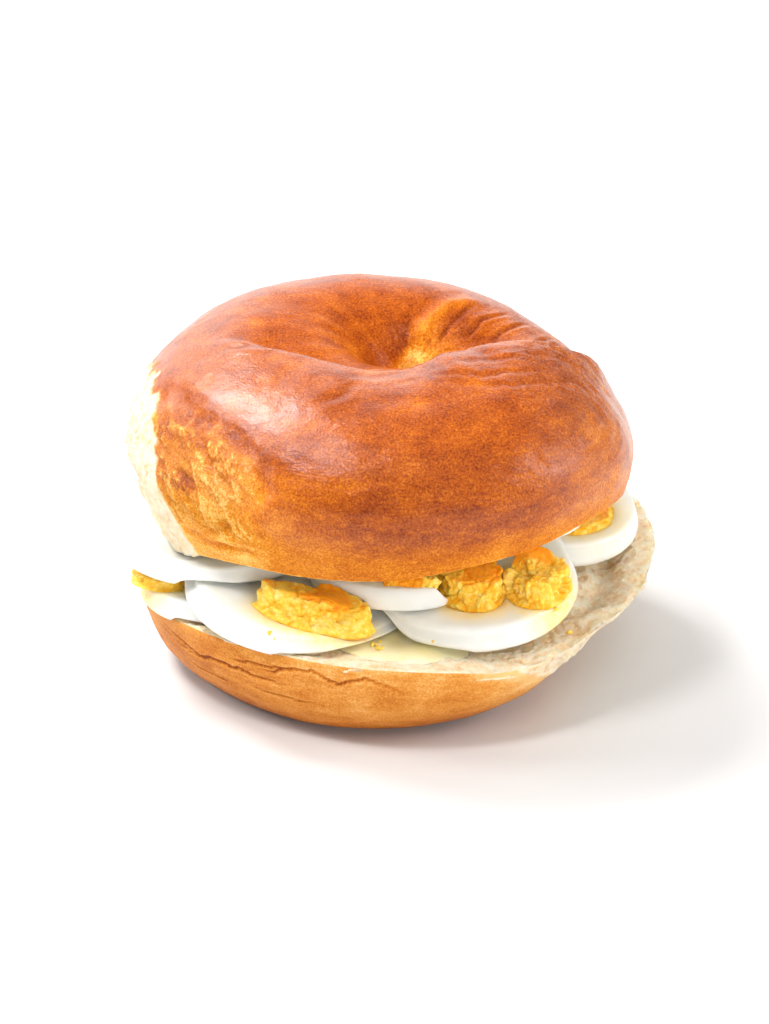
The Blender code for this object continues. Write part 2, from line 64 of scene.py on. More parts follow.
# How finely the shown meshes are cut: steps round or along each piece, and sides of the round ones.
CROWN_STEPS = 620
HEEL_STEPS = 660
SPREAD_STEPS = 240
SLICE_STEPS = 168
YOLK_STEPS = 200
SHARD_STEPS = 120
STRIP_STEPS = 110
STRIP_SIDES = 40
CRUMB_SIDES = 12
CRUMB_ROWS = 8

# Rows of points: up the crown's throat, down to its widest line and on to its cut; then under the heel, up
# its side, and in over the outer and the inner part of its cut face.
CROWN_ROWS = (36, 56, 36)
HEEL_UNDER_ROWS = 12
HEEL_SIDE_ROWS = 66
HEEL_CUT_ROWS = (40, 16)

# Where the crown's cut face has its rows of points, as shares of the way in from its edge.
CUT_SHARES = np.array([0.006, 0.015, 0.03, 0.05, 0.08, 0.14, 0.2, 0.28, 0.36, 0.45, 0.55, 0.65, 0.75, 0.85,
                       0.94, 1.0])

# The crown's outline, by angle: radius and height of its widest line, of its cut edge and of its crest.
CROWN_WIDEST = {0: 50.0, 45: 50.5, 90: 51.5, 135: 53.0, 180: 54.0, 200: 54.2, 225: 52.8,
                270: 52.0, 315: 51.5}
CROWN_WIDEST_Z = {0: 46.0, 45: 47.5, 90: 50.0, 180: 50.0, 225: 48.5, 270: 49.0, 315: 50.0}
CROWN_EDGE = {0: 49.0, 90: 48.5, 150: 47.0, 180: 46.4, 200: 46.9, 225: 48.2, 270: 49.0, 315: 49.5}
CROWN_EDGE_Z = {0: 40.5, 45: 38.5, 90: 36.5, 135: 34.0, 180: 30.0, 201: 30.5, 216: 34.3, 233: 37.0,
                250: 37.8, 270: 38.7, 290: 40.8, 305: 41.8, 322: 42.9, 343: 41.8}
CROWN_CREST = {0: 24.0, 45: 24.0, 90: 26.0, 135: 27.0, 180: 28.0, 225: 27.0, 270: 25.0, 315: 26.0}
CROWN_CREST_Z = {0: 66.8, 14: 64.6, 30: 64.2, 45: 65.8, 60: 67.7, 90: 70.3, 120: 71.0, 180: 71.0, 225: 70.5,
                 270: 70.5, 315: 70.0, 345: 68.6}

# How round the crown's shoulder is: under 1 is full, over 1 sloping.
CROWN_SLOPE = {0: 1.2, 45: 1.08, 90: 0.95, 180: 0.94, 270: 0.9, 315: 1.0, 345: 1.12}

# The heel's outline, by angle: radius and height of its cut rim, and radius of its flat foot.
HEEL_RIM = {0: 54.4, 9: 55.6, 20: 56.2, 45: 54.2, 90: 52.5, 135: 52.0, 180: 52.2, 214: 51.0, 240: 50.5,
            270: 51.0, 300: 51.5, 330: 52.0}
HEEL_RIM_Z = {0: 20.8, 22: 23.8, 45: 23.5, 90: 21.0, 135: 18.5, 180: 15.8, 193: 16.3, 214: 19.0, 240: 20.3,
              270: 19.6, 283: 18.6, 297: 16.9, 312: 17.6, 327: 19.2, 343: 19.2}
HEEL_FOOT = {0: 25.0, 45: 28.0, 90: 33.0, 180: 37.0, 225: 37.0, 270: 34.5, 300: 29.0, 330: 24.0}
HEEL_CONE = {0: 1.0, 25: 0.4, 50: 0.0, 120: 0.0, 200: 0.0, 285: 0.0, 305: 0.4, 325: 0.9, 345: 1.1}
SPREAD_EDGE = {0: 34.0, 60: 38.0, 120: 40.0, 180: 32.0, 228: 33.0, 250: 40.0, 268: 46.5, 285: 46.5,
               305: 38.0}

# Folds in the crown's crust that the solid has too, as points along each.
FRONT_FOLD = ((-36, 0, 68), (-29, -5, 70), (-21, -10, 69), (-15, -13, 68), (-9, -15.5, 67), (-3, -15.5, 67),
              (3, -13, 67), (13, -8, 67), (23, -3, 68), (31, 4, 66), (37, 9, 63), (44, 13, 58))
SIDE_VALLEY = ((-43.5, -18, 63), (-39.7, -23.5, 63), (-34.5, -30.6, 62.3), (-30.4, -35.5, 61.2),
               (-27.7, -39.9, 58), (-26.7, -42.9, 55))

# How long the steps along a wrinkle are, how far they wander, and a groove's lips as a share of its depth.
LINE_STEP = 1.6
LINE_WANDER = 0.35
GROOVE_LIPS = 0.35

# Finer wrinkles of the crown's crust: points along each, its width, and how far it stands out.
CROWN_WRINKLES = (
    (SIDE_VALLEY, 1.6, -0.45),
    (((20, 30, 66), (13, 24, 68), (8, 16, 67), (2, 11, 63)), 1.8, 0.62),
    (((29, 25, 62), (24, 19, 64), (20, 11, 64)), 0.5, -0.32),
    (((25, 27, 64), (19, 20, 65), (14, 12, 64.5)), 0.5, -0.32),
    (((34, 23, 60), (30, 15, 63), (24, 8, 64)), 0.5, -0.30),
    (((1.5, -24, 70), (9.5, -21, 70.5), (17.6, -20.5, 71), (26, -17.5, 71), (34, -10, 68)), 0.6, -0.25),
    (((14, -25, 70.5), (24, -23, 70.5), (33, -17, 69), (40, -9, 65)), 0.6, -0.22),
    (((8, -18, 70), (16, -15, 71), (24, -12, 71), (32, -6, 69), (39, 0, 66)), 0.6, -0.22),
    (((38, 20, 60), (33, 12, 63), (28, 6, 64)), 0.45, -0.26),
    (((19, 28, 67), (12, 17, 65.5), (8, 9, 62)), 0.5, -0.22),
    (((-35, -6, 70), (-29, -7, 71), (-22, -9.5, 72)), 1.2, -0.50),
    (((-7, -22, 70), (-9.5, -28, 70), (-12.5, -31, 70), (-18, -32, 69)), 1.1, -0.22),
    (((-40.3, -25.5, 61.5), (-36.5, -29, 62), (-32.8, -33.7, 61), (-28.7, -38.7, 58.9), (-27.7, -41.7, 55.9),
      (-25.9, -44.5, 52.9), (-24.9, -45.2, 51.4)), 1.7, 0.95),
    (((-43.7, -29.7, 51.3), (-43.5, -28.8, 44.2), (-41.9, -28, 40.1), (-38.8, -32.2, 40.9),
      (-34.5, -38.3, 44.9), (-30.9, -41.9, 47.7), (-26.7, -44.3, 51)), 1.1, -0.43),
    (((-45.5, -27, 54.5), (-42.5, -30.5, 53.8), (-40, -33, 53), (-38, -35.5, 52)), 0.7, -0.43),
    (((-43.8, -30, 51.6), (-41, -33, 51.2), (-39, -35, 50.4)), 0.6, -0.31),
    (((-46, -25, 52), (-44, -28.5, 49)), 0.6, -0.31),
    (((-36, -30, 60), (-37, -34, 52), (-35, -37.5, 45)), 0.7, 0.25),
    (((-33, -34, 60), (-33.5, -38, 52), (-31, -41.5, 45)), 0.7, 0.22),
    (((-41, -27.5, 37.6), (-36, -35, 40), (-30.5, -39.5, 41), (-26, -42, 41)), 0.9, -0.62),
    (((-13, -48, 45), (-11, -49.5, 42), (-12, -49.5, 40)), 0.6, -0.25),
)

# The fine wrinkles run down to the right: rows turn a place into distances across and along them.
CRINKLE_AXES = np.array(((1.3, 0.4, 1.0), (-0.15, 0.25, 0.12), (0.5, -0.9, 0.6)))

# How high up the crown's left side is torn open to its crumb, by angle. It is whole elsewhere.
TORN_TOP = {145: 30, 152: 46, 162: 57, 175: 62, 188: 63, 196: 62, 204: 57, 208: 50, 211: 44, 214: 37,
            217: 28}

# Cracks in the heel's crust, as the wrinkles above.
HEEL_CRACKS = (
    (((-48, -18, 15), (-45, -24, 15), (-39, -31, 13), (-37, -33.5, 14), (-31, -39, 14),
      (-19, -46, 13)), 0.32, -0.42),
    (((-46, -22, 13.5), (-41, -29, 12.5), (-37, -33, 13.2)), 0.25, -0.25),
    (((-34, -37, 16), (-25, -44, 17), (-19, -47, 18)), 0.28, -0.35),
    (((-31, -40, 16.5), (-24, -44, 16), (-20, -46, 18), (-16.5, -47.5, 18), (-10.5, -49, 16),
      (-5.5, -50.5, 18), (1.5, -51, 15), (3.5, -50, 13)), 0.32, -0.42),
    (((-44, -24, 10), (-38, -30, 9), (-31, -36, 10)), 0.25, -0.25),
    (((-30, -38, 11), (-22, -43, 10), (-14, -46, 10.5)), 0.25, -0.2),
)

# Pale flakes that stand up along the heel's rim, and how low its right side is torn, by angle.
HEEL_FLAKES = (
    (((-36, -35, 20), (-33.5, -38, 20.4), (-31, -40, 20)), 0.3, 0.4),
    (((-11, -49, 19), (-8, -50.2, 19.4), (-5, -51, 19.5)), 0.3, 0.4),
    (((15, -49, 17), (20, -47.4, 16.2), (26, -44, 14.5)), 0.4, 0.5),
)
HEEL_TORN = {-72: 22, -62: 17, -54: 13, -45: 9.5, -35: 7, -20: 6, 5: 7, 30: 12, 48: 26}

# What each part of the crown's crust adds to how dark it is baked. Less than nothing is paler.
CROWN_TONES = {
    "rest": 0.36, "shoulder": 0.24, "top": 0.20, "low_front": 0.08, "high_front": 0.30, "left_front": -0.24,
    "valley": -0.10, "far_wall": 0.42, "right_wall": -0.34, "throat": -0.75, "behind_fold": -0.62,
    "throat_edge": -0.40, "rim": -0.34, "scar": 0.42, "uneven": 0.08,
}
PALEST_CROWN, DARKEST_CROWN = 0.04, 0.76

# The dark scar at the crown's left front: its middle, and how far it reaches each way.
SCAR_MIDDLE = (-42.0, -31.0, 52.0)
SCAR_REACH = (4.0, 4.5, 2.2)

# Each egg slice: middle and height of its underside, radius, lean and its direction, thickness, radius of
# its upper face as a share, and lumps of yolk. A lump has its middle, half its length and width, its turn
# and how far it stands over the white. All are as in part.py, but the front left lump stands 1 mm higher.
SLICES = {
    "left_low": dict(at=(-31.4, -10.8, 18.7), radius=20.8, lean=2, to=180, thickness=5.0, top=0.92,
                     yolks=[((-43.5, -12.0), 11.0, 9.3, 30, 2.0)]),
    "back_left": dict(at=(-22.6, 29.2, 20.4), radius=18.0, lean=0, to=0, thickness=5.2, top=0.93,
                      yolks=[((-23.0, 29.8), 10.5, 9.5, 0, 0.3)]),
    "back_right": dict(at=(14.4, 31.0, 21.4), radius=17.8, lean=0, to=0, thickness=5.2, top=0.93,
                       yolks=[((14.8, 31.6), 9.8, 10.0, 0, 0.3)]),
    "right": dict(at=(31.6, 10.2, 24.6), radius=20.0, lean=8, to=-45, thickness=5.2, top=0.92,
                  yolks=[((36.5, 6.0), 11.0, 10.5, 40, 0.6)]),
    "front_left": dict(at=(-19.2, -22.6, 21.8), radius=23.2, lean=9, to=-40, thickness=4.7, top=0.87,
                       yolks=[((-15.8, -37.4), 12.6, 4.6, -15, 6.2)]),
    "front_right": dict(at=(15.4, -20.7, 23.4), radius=22.5, lean=10, to=-90, thickness=5.4, top=0.91,
                        yolks=[((15.6, -30.0), 7.8, 6.4, -30, 5.0), ((29.4, -28.2), 6.8, 7.9, -10, 5.2)]),
    "left_high": dict(at=(-34.6, -8.2, 27.5), radius=21.5, lean=3.5, to=170, thickness=4.0, top=0.94,
                      yolks=[]),
    "back_middle": dict(at=(-4.6, 32.6, 27.4), radius=18.6, lean=0, to=0, thickness=4.4, top=0.94,
                        yolks=[((-4.4, 33.4), 10.0, 9.6, 0, 0.0)]),
    "back_top": dict(at=(11.6, 32.4, 32.3), radius=17.4, lean=0, to=0, thickness=3.5, top=0.94,
                     yolks=[((11.8, 33.0), 8.8, 8.8, 0, 0.0)]),
    "right_top": dict(at=(24.0, -9.0, 35.3), radius=16.5, lean=0, to=0, thickness=3.6, top=0.92,
                      yolks=[((24.0, -8.0), 8.0, 8.5, 0, 0.0)]),
}

# The broken piece of white across the two front slices: a part of a ring, 1.4 mm thicker than its solid.
SHARD = dict(middle=(1.5, -17.8, 26.8), inner=(9.5, 18.6), outer=20.8, start=205, end=299, thickness=4.8,
             before="left_high")

# The strip of yolk that clings to it: the angles between which it lies.
STRIP_START, STRIP_END = 256, 297

# Loose crumbs of yolk: middle of each patch, how far it spreads and how many, and their least and most size.
CRUMBS = (((-2.5, -41.5), 1.6, 7), ((10, -38.5), 1.4, 4), ((20, -37.5), 2.0, 5), ((33, -32), 1.5, 4),
          ((-24, -42.5), 1.5, 3), ((38, 2), 1.5, 3))
CRUMB_SIZES = (0.2, 0.5)

# Colours from the palest to the darkest baked crust, and from the hollows to the heights of what is torn or
# broken: the darker hollows are painted shade, the paler heights of the yolk a painted highlight.
BROWN = ((0.02, (0.90, 0.52, 0.13)), (0.22, (0.78, 0.285, 0.018)), (0.45, (0.60, 0.165, 0.006)),
         (0.70, (0.39, 0.075, 0.002)), (1.0, (0.18, 0.024, 0.001)))
TAN = ((0.05, (0.84, 0.52, 0.20)), (0.3, (0.72, 0.30, 0.055)), (0.55, (0.55, 0.17, 0.020)),
       (0.9, (0.26, 0.05, 0.006)))
CRUMB = ((0.3, (0.74, 0.43, 0.19)), (0.44, (0.91, 0.70, 0.44)), (0.6, (0.95, 0.84, 0.64)))
WHITE = ((0.3, (0.75, 0.76, 0.72)), (0.7, (0.81, 0.82, 0.78)))
YOLK = ((0.25, (0.94, 0.31, 0.006)), (0.42, (0.98, 0.46, 0.014)), (0.62, (0.99, 0.64, 0.08)),
        (0.95, (0.98, 0.80, 0.34)))
YOLK_SKIN = ((0.35, (0.95, 0.26, 0.003)), (0.7, (0.97, 0.42, 0.010)))
YOLK_STAIN = (0.94, 0.70, 0.20, 1)
BUTTER = ((0.3, (0.97, 0.83, 0.42)), (0.7, (0.98, 0.90, 0.60)))
FLOOR = (0.64, 0.635, 0.63, 1)

# The square soft lights: place and height of the target in metres, size, watts, and whether gloss shows it.
LIGHTS = {
    "key": ((-0.45, -0.34, 1.08), 0.03, 0.22, 6, True),
    "window": ((-0.55, 0.45, 0.95), 0.03, 0.42, 14, True),
    "overhead": ((0.1, 0.3, 1.15), 0.03, 0.8, 2, False),
    "left": ((-0.98, 0.12, 0.62), 0.04, 0.34, 6, True),
    "front fill": ((0.5, -1.3, 0.33), 0.03, 0.7, 9.5, False),
    "front high": ((0.3, -0.8, 1.25), 0.03, 0.8, 4, False),
    "backdrop": ((-0.3, 1.6, 0.45), 0.03, 1.6, 11, True),
    "behind right": ((1.15, -0.05, 0.5), 0.03, 0.6, 8, True),
    "sky": ((0, -0.3, 2.2), 0.03, 3.0, 7, False),
}
WORLD_LIGHT = 0.22
FLOOR_HALF = 3.0

# The camera, one metre from its target: lens and sensor in millimetres, elevation in degrees.
LENS = 168.75
SENSOR = 36
CAMERA_ELEVATION = 25
CAMERA_TARGET = (-0.00097, -0.00037, 0.031)


def around(keys, angle):
    """A smooth value at any angle, through keys {degrees: value} that repeat every turn."""
    degrees = np.array(sorted(keys), float)
    values = np.array([keys[d] for d in sorted(keys)], float)
    angle = np.asarray(angle, float) % 360
    left = (np.searchsorted(degrees, angle, side="right") - 1) % len(degrees)
    right = (left + 1) % len(degrees)
    span = (np.roll(degrees, -1) - degrees) % 360
    slope = (np.roll(values, -1) - np.roll(values, 1)) / (span + np.roll(span, 1))
    u = ((angle - degrees[left]) % 360) / span[left]
    return (
        values[left] * (2 * u**3 - 3 * u**2 + 1)
        + slope[left] * span[left] * (u**3 - 2 * u**2 + u)
        + values[right] * (3 * u**2 - 2 * u**3)
        + slope[right] * span[left] * (u**3 - u**2)
    )


def mix(a, b, share):
    """A value that goes from a to b as the share goes from 0 to 1."""
    return a + (b - a) * share


def smooth(share):
    """A share kept between 0 and 1 that starts and ends gently."""
    share = np.clip(share, 0, 1)
    return share * share * (3 - 2 * share)


def xyz(x, y, z):
    """Points from their three places, each a number or an array."""
    return np.stack(np.broadcast_arrays(x, y, z), -1)


def place(angle, rho, z, share):
    """Points at a radius and height round an axis that is moved by a share of the way to the hole."""
    turn = np.radians(angle)
    return xyz(HOLE[0] * share + rho * np.cos(turn), HOLE[1] * share + rho * np.sin(turn), z)


def hashed(cell, seed):
    """A random value from 0 to 1 for each cell of space."""
    key = cell[..., 0] * 73856093 ^ cell[..., 1] * 19349663 ^ cell[..., 2] * 83492791 ^ seed * 2654435761
    key = key & 0xFFFFFFFF
    key = (key ^ key >> 13) * 1274126177 & 0xFFFFFFFF
    return ((key ^ key >> 16) & 0xFFFF) / 65535


def bumps(points, size, seed):
    """Smooth random values from -1 to 1 in space, with bumps of a size. Another seed gives other bumps."""
    cell = np.floor(points / size).astype(np.int64)
    part = points / size - cell
    part = part * part * (3 - 2 * part)
    total = np.zeros(points.shape[:-1])
    for corner in np.ndindex(2, 2, 2):
        value = hashed(cell + np.array(corner), seed) * 2 - 1
        weight = np.where(np.array(corner) == 1, part, 1 - part).prod(-1)
        total += value * weight
    return total


def layered(points, size, seed, layers):
    """Bumps of several sizes, each half as big and half as high as the last."""
    return sum(bumps(points, size / 2**i, seed + 40 * i) / 2**i for i in range(layers))


def chunks(points, size, seed):
    """Broken lumps: how far in from its lump's border each point is, and its lump's random value."""
    cell = np.floor(points / size).astype(np.int64)
    nearest = np.full(points.shape[:-1], 9.0)
    second = np.full(points.shape[:-1], 9.0)
    value = np.zeros(points.shape[:-1])
    for corner in np.ndindex(3, 3, 3):
        near = cell + np.array(corner) - 1
        seat = np.stack([hashed(near, seed + i) for i in range(3)], -1)
        away = np.linalg.norm(near + seat - points / size, axis=-1)
        closer = away < nearest
        second = np.where(closer, nearest, np.minimum(second, away))
        value = np.where(closer, hashed(near, seed + 3), value)
        nearest = np.where(closer, away, nearest)
    return second - nearest, value


def near_line(points, line):
    """For each point: its distance from a line, how far to its left it lies in plan, and how far along."""
    line = np.array(line, float)
    best = np.full(points.shape[:-1], np.inf)
    left = np.zeros(points.shape[:-1])
    passed = np.zeros(points.shape[:-1])
    for i, (a, b) in enumerate(zip(line, line[1:])):
        along = b - a
        share = np.clip(((points - a) @ along) / max(along @ along, 1e-9), 0, 1)
        off = points - (a + share[..., None] * along)
        distance = np.linalg.norm(off, axis=-1)
        side = (along[0] * off[..., 1] - along[1] * off[..., 0]) / max(np.hypot(along[0], along[1]), 1e-6)
        nearer = distance < best
        best = np.where(nearer, distance, best)
        left = np.where(nearer, side, left)
        passed = np.where(nearer, i + share, passed)
    return best, left, passed / (len(line) - 1)


def crown_under(x, y):
    """The height of the crown's cut face."""
    angle = np.degrees(np.arctan2(y, x))
    edge_z = around(CROWN_EDGE_Z, angle)
    share = np.clip(1 - np.hypot(x, y) / around(CROWN_EDGE, angle), 0, 1)
    return mix(edge_z, CUT_MIDDLE_Z, 1 - (1 - share) ** 1.6)


def heel_top(x, y):
    """The height of the heel's cut face, with the torn hollow at its right."""
    angle = np.degrees(np.arctan2(y, x)) % 360
    rho = np.hypot(x, y)
    rim_z = around(HEEL_RIM_Z, angle)
    share = np.clip(1 - rho / around(HEEL_RIM, angle), 0, 1)
    hollow = np.exp(-(((rho - 44) / 3.2) ** 2)) * np.exp(-((((angle - 348 + 180) % 360 - 180) / 20) ** 2))
    return mix(rim_z, HEEL_MIDDLE_Z, 1 - (1 - share) ** 1.8) - 2.2 * hollow


def crown_relief(points):
    """How far the crown's crust stands out at each point: its folds, valley and uneven swelling."""
    x = points[..., 0]
    away, left, _ = near_line(points, FRONT_FOLD)
    rightward = smooth((x - 1) / 13) * smooth((48 - x) / 10)
    leftward = smooth((-x - 4) / 8) * smooth((x + 40) / 12)
    lip = (3.2 * rightward + 1.3 * leftward) * smooth(0.5 - left / 3.5) * np.exp(-((away / 11) ** 2))
    trough = smooth((x + 33) / 12) * smooth((46 - x) / 8) * smooth((np.abs(x - 1) - 4) / 8)
    trough *= -3.0 * smooth((left + 0.5) / 3) * np.exp(-((away / 7) ** 2))
    away, _, _ = near_line(points, SIDE_VALLEY)
    valley = -1.3 * np.exp(-((away / 3.2) ** 2))
    return lip + trough + valley + 0.5 * bumps(points, 17, 3) + 0.25 * bumps(points, 8, 4)


def crown_skin(angle, t):
    """Points of the crown's crust: t is 0 in the throat, 1 on the crest, 2 where widest, 3 at the cut."""
    angle, t = np.broadcast_arrays(np.asarray(angle, float), np.asarray(t, float))
    crest, crest_z = around(CROWN_CREST, angle), around(CROWN_CREST_Z, angle)
    widest, widest_z = around(CROWN_WIDEST, angle), around(CROWN_WIDEST_Z, angle)
    edge, edge_z = around(CROWN_EDGE, angle), around(CROWN_EDGE_Z, angle)
    rise = np.clip(t, 0, 1) * np.pi / 2
    fall = np.clip(t - 1, 0, 1) * np.pi / 2
    tuck = np.clip(t - 2, 0, 1) * np.pi / 2
    rho = crest - (crest - HOLE_RADIUS) * np.cos(rise)
    slope = around(CROWN_SLOPE, angle)
    rho = rho + (widest - crest) * np.sin(fall) ** slope - (widest - edge) * np.sin(tuck) ** 1.4
    z = THROAT_Z + (crest_z - THROAT_Z) * np.sin(rise)
    z = z - (crest_z - widest_z) * (1 - np.cos(fall) ** (slope * 0.95)) - (widest_z - edge_z) * np.sin(tuck)
    points = place(angle, rho, z, np.clip(1 - t / 2, 0, 1))
    core = place(angle, crest, mix(widest_z, crest_z, 0.2), np.clip(1 - t / 2, 0, 1))
    out = points - core
    out /= np.linalg.norm(out, axis=-1, keepdims=True)
    fade = smooth(t / 0.4) * smooth((3 - t) / 0.35)
    return points + out * (crown_relief(points) * fade)[..., None]


def cut_face(height, edge, inner, angle, share):
    """Points of a cut face: share is 0 at its outer edge and 1 at the hole."""
    rho = mix(around(edge, angle), inner, share)
    points = place(angle, rho, 0.0, share)
    points[..., 2] = height(points[..., 0], points[..., 1])
    return points


def heel_side(angle, t):
    """Points of the heel's crust: t is 0 at the foot's edge and 1 at the cut rim."""
    angle, t = np.broadcast_arrays(np.asarray(angle, float), np.asarray(t, float))
    rim, foot = around(HEEL_RIM, angle), around(HEEL_FOOT, angle)
    turn = t * np.pi / 2
    share = mix(np.sin(turn), (1 - np.cos(turn)) ** 0.6, around(HEEL_CONE, angle))
    rho = foot + (rim - foot) * share
    z = around(HEEL_RIM_Z, angle) * (1 - np.cos(turn))
    points = place(angle, rho, z, 0)
    swell = (0.5 * bumps(points, 15, 7) + 0.2 * bumps(points, 7, 8)) * np.sin(t * np.pi)
    points[..., :2] *= (1 + swell / rho)[..., None]
    return points


def tilted(spec, x, y):
    """The height of a slice's flat underside, before it sags on what it lies on."""
    cx, cy, cz = spec["at"]
    to = np.radians(spec["to"])
    slope = np.tan(np.radians(spec["lean"]))
    return cz - slope * ((x - cx) * np.cos(to) + (y - cy) * np.sin(to))


def underside(name, room, x, y):
    """The height of a slice's underside: flat where nothing under or over it presses on it."""
    bed, ceiling = room
    roof = height_at(ceiling, x, y) - SLICES[name]["thickness"]
    return np.maximum(np.minimum(tilted(SLICES[name], x, y), roof), height_at(bed, x, y))


def topside(name, room, x, y):
    """The height of a slice's upper face, without its dish."""
    bed, ceiling = room
    flat = tilted(SLICES[name], x, y) + SLICES[name]["thickness"]
    return np.minimum(np.maximum(flat, height_at(bed, x, y) + LEAST_WHITE), height_at(ceiling, x, y))


def dish(name, x, y, lip=DISH_LIP):
    """How far the upper face is dished under the yolk, from a lip outside its edge."""
    depth = np.zeros_like(x)
    for (cx, cy), length, width, turn, _ in SLICES[name]["yolks"]:
        u, v = lump_axes(x - cx, y - cy, turn)
        inside = np.clip(1 - (u / (length + lip)) ** 2 - (v / (width + lip)) ** 2, 0, 1)
        depth = np.maximum(depth, DISH_DEPTH * smooth(inside))
    return depth


def lump_axes(dx, dy, turn):
    """A place from a lump's middle, along the lump and across it."""
    c, s = np.cos(np.radians(turn)), np.sin(np.radians(turn))
    return dx * c + dy * s, dy * c - dx * s


def yolk_bottom(name, slice_room, x, y):
    """The height of a yolk's underside, a little way into its slice's dish."""
    return topside(name, slice_room, x, y) - dish(name, x, y) - SUNK


def yolk_top(name, slice_room, lump, room, x, y):
    """The height of a yolk's broken upper face."""
    proud = SLICES[name]["yolks"][lump][-1]
    crumbs = (0.25 + 0.12 * proud) * bumps(xyz(x, y, 0), 4.5, 21 + lump)
    high = np.minimum(topside(name, slice_room, x, y) + proud + crumbs, height_at(room[1], x, y))
    return np.maximum(high, yolk_bottom(name, slice_room, x, y) + LEAST_YOLK)


def node_heights(node, pick, start):
    """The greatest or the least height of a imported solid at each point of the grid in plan."""
    side = int(2 * PILE_HALF / PILE_STEP) + 1
    heights = np.full((side, side), start)
    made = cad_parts[node]
    points = np.array([made.matrix_world @ corner.co for corner in made.data.vertices]) / MM + (*MIDDLE, 0)
    made.data.calc_loop_triangles()
    cells = (points[:, :2] + PILE_HALF) / PILE_STEP
    for face in made.data.loop_triangles:
        corners = list(face.vertices)
        (ax, ay), (bx, by), (cx, cy) = cells[corners]
        area = (bx - ax) * (cy - ay) - (cx - ax) * (by - ay)
        if abs(area) < 1e-6:
            continue
        i, j = np.mgrid[
            int(np.ceil(min(ax, bx, cx))) : int(max(ax, bx, cx)) + 1,
            int(np.ceil(min(ay, by, cy))) : int(max(ay, by, cy)) + 1,
        ]
        b = ((i - ax) * (cy - ay) - (cx - ax) * (j - ay)) / area
        c = ((bx - ax) * (j - ay) - (i - ax) * (by - ay)) / area
        inside = (b >= -1e-6) & (c >= -1e-6) & (b + c <= 1 + 1e-6)
        az, bz, cz = points[corners, 2]
        z = az + (bz - az) * b + (cz - az) * c
        i, j = i[inside], j[inside]
        heights[i, j] = pick(heights[i, j], z[inside])
    return heights


def shifted(field, reach):
    """The field moved by every step that is within the reach."""
    side = field.shape[0]
    wide = np.pad(field, reach, mode="edge")
    for i in range(-reach, reach + 1):
        for j in range(-reach, reach + 1):
            if i * i + j * j <= reach * reach:
                yield wide[reach + i : reach + i + side, reach + j : reach + j + side]


def widened(field, reach):
    """For each point of the grid, the greatest height within the reach."""
    best = field
    for moved in shifted(field, reach):
        best = np.maximum(best, moved)
    return best


def eased(field, reach):
    """For each point of the grid, the mean height within the reach."""
    moved = list(shifted(field, reach))
    return sum(moved) / len(moved)


def height_at(field, x, y):
    """The height of a field between the points of its grid."""
    i = np.clip((np.asarray(x, float) + PILE_HALF) / PILE_STEP, 0, field.shape[0] - 1.001)
    j = np.clip((np.asarray(y, float) + PILE_HALF) / PILE_STEP, 0, field.shape[0] - 1.001)
    i0, j0 = np.floor(i).astype(int), np.floor(j).astype(int)
    u, v = i - i0, j - j0
    near = mix(field[i0, j0], field[i0, j0 + 1], v)
    far = mix(field[i0 + 1, j0], field[i0 + 1, j0 + 1], v)
    return mix(near, far, u)


def room_in(pile, roof, reach):
    """The lowest height of a piece's underside and the greatest of its upper face."""
    bed = eased(widened(pile, reach + 2), reach) + GAP + ROOM
    ceiling = -eased(widened(-roof, reach + 2), reach) - GAP - ROOM
    return bed, ceiling


def steps(count):
    """Even angles round the bagel."""
    return np.arange(count)[:, None] * 360 / count


def quarter(count):
    """Angles of a quarter turn, without its first."""
    return np.linspace(0, np.pi / 2, count)[1:]


def front_steps(count):
    """Angles round the bagel that lie closer together at its front than at its back."""
    share = np.arange(count)[:, None] / count
    return 360 * share - 0.42 * 360 / (2 * np.pi) * np.sin(2 * np.pi * (share - 0.75))


def outward(rows):
    """The unit normal at each point of a closed ring of closed sections, pointing out of it."""
    along = np.roll(rows, -1, axis=0) - np.roll(rows, 1, axis=0)
    across = np.roll(rows, -1, axis=1) - np.roll(rows, 1, axis=1)
    normal = np.cross(across, along)
    normal /= np.maximum(np.linalg.norm(normal, axis=-1, keepdims=True), 1e-9)
    middle = rows.mean(axis=1, keepdims=True)
    if ((rows - middle) * normal).sum() < 0:
        normal = -normal
    return normal


def ring(rows):
    """Points and quads of a ring from its closed sections."""
    n, m = rows.shape[:2]
    i, j = np.mgrid[:n, :m]
    after, beside = (i + 1) % n, (j + 1) % m
    quads = np.stack([i * m + j, after * m + j, after * m + beside, i * m + beside], -1)
    return rows.reshape(-1, 3), quads.reshape(-1, 4).tolist()


def side_quads(n, m):
    """Quads that join each of n closed sections of m points to the next."""
    i, j = np.mgrid[: n - 1, :m]
    beside = (j + 1) % m
    quads = np.stack([i * m + j, i * m + beside, (i + 1) * m + beside, (i + 1) * m + j], -1)
    return quads.reshape(-1, 4).tolist()


def lens(rings):
    """Points and faces from rings that go from the underside's middle up to the top's, ends closed."""
    n, m = rings.shape[:2]
    points = np.concatenate([rings.reshape(-1, 3), rings[:1].mean(axis=1), rings[-1:].mean(axis=1)])
    faces = side_quads(n, m)
    faces += [(n * m, (k + 1) % m, k) for k in range(m)]
    faces += [(n * m + 1, (n - 1) * m + k, (n - 1) * m + (k + 1) % m) for k in range(m)]
    return points, faces


def sleeve(rows):
    """Points and faces of a row of closed sections, with a flat cap at each end."""
    n, m = rows.shape[:2]
    caps = [list(range(m))[::-1], list(range(n * m - m, n * m))]
    return rows.reshape(-1, 3), side_quads(n, m) + caps


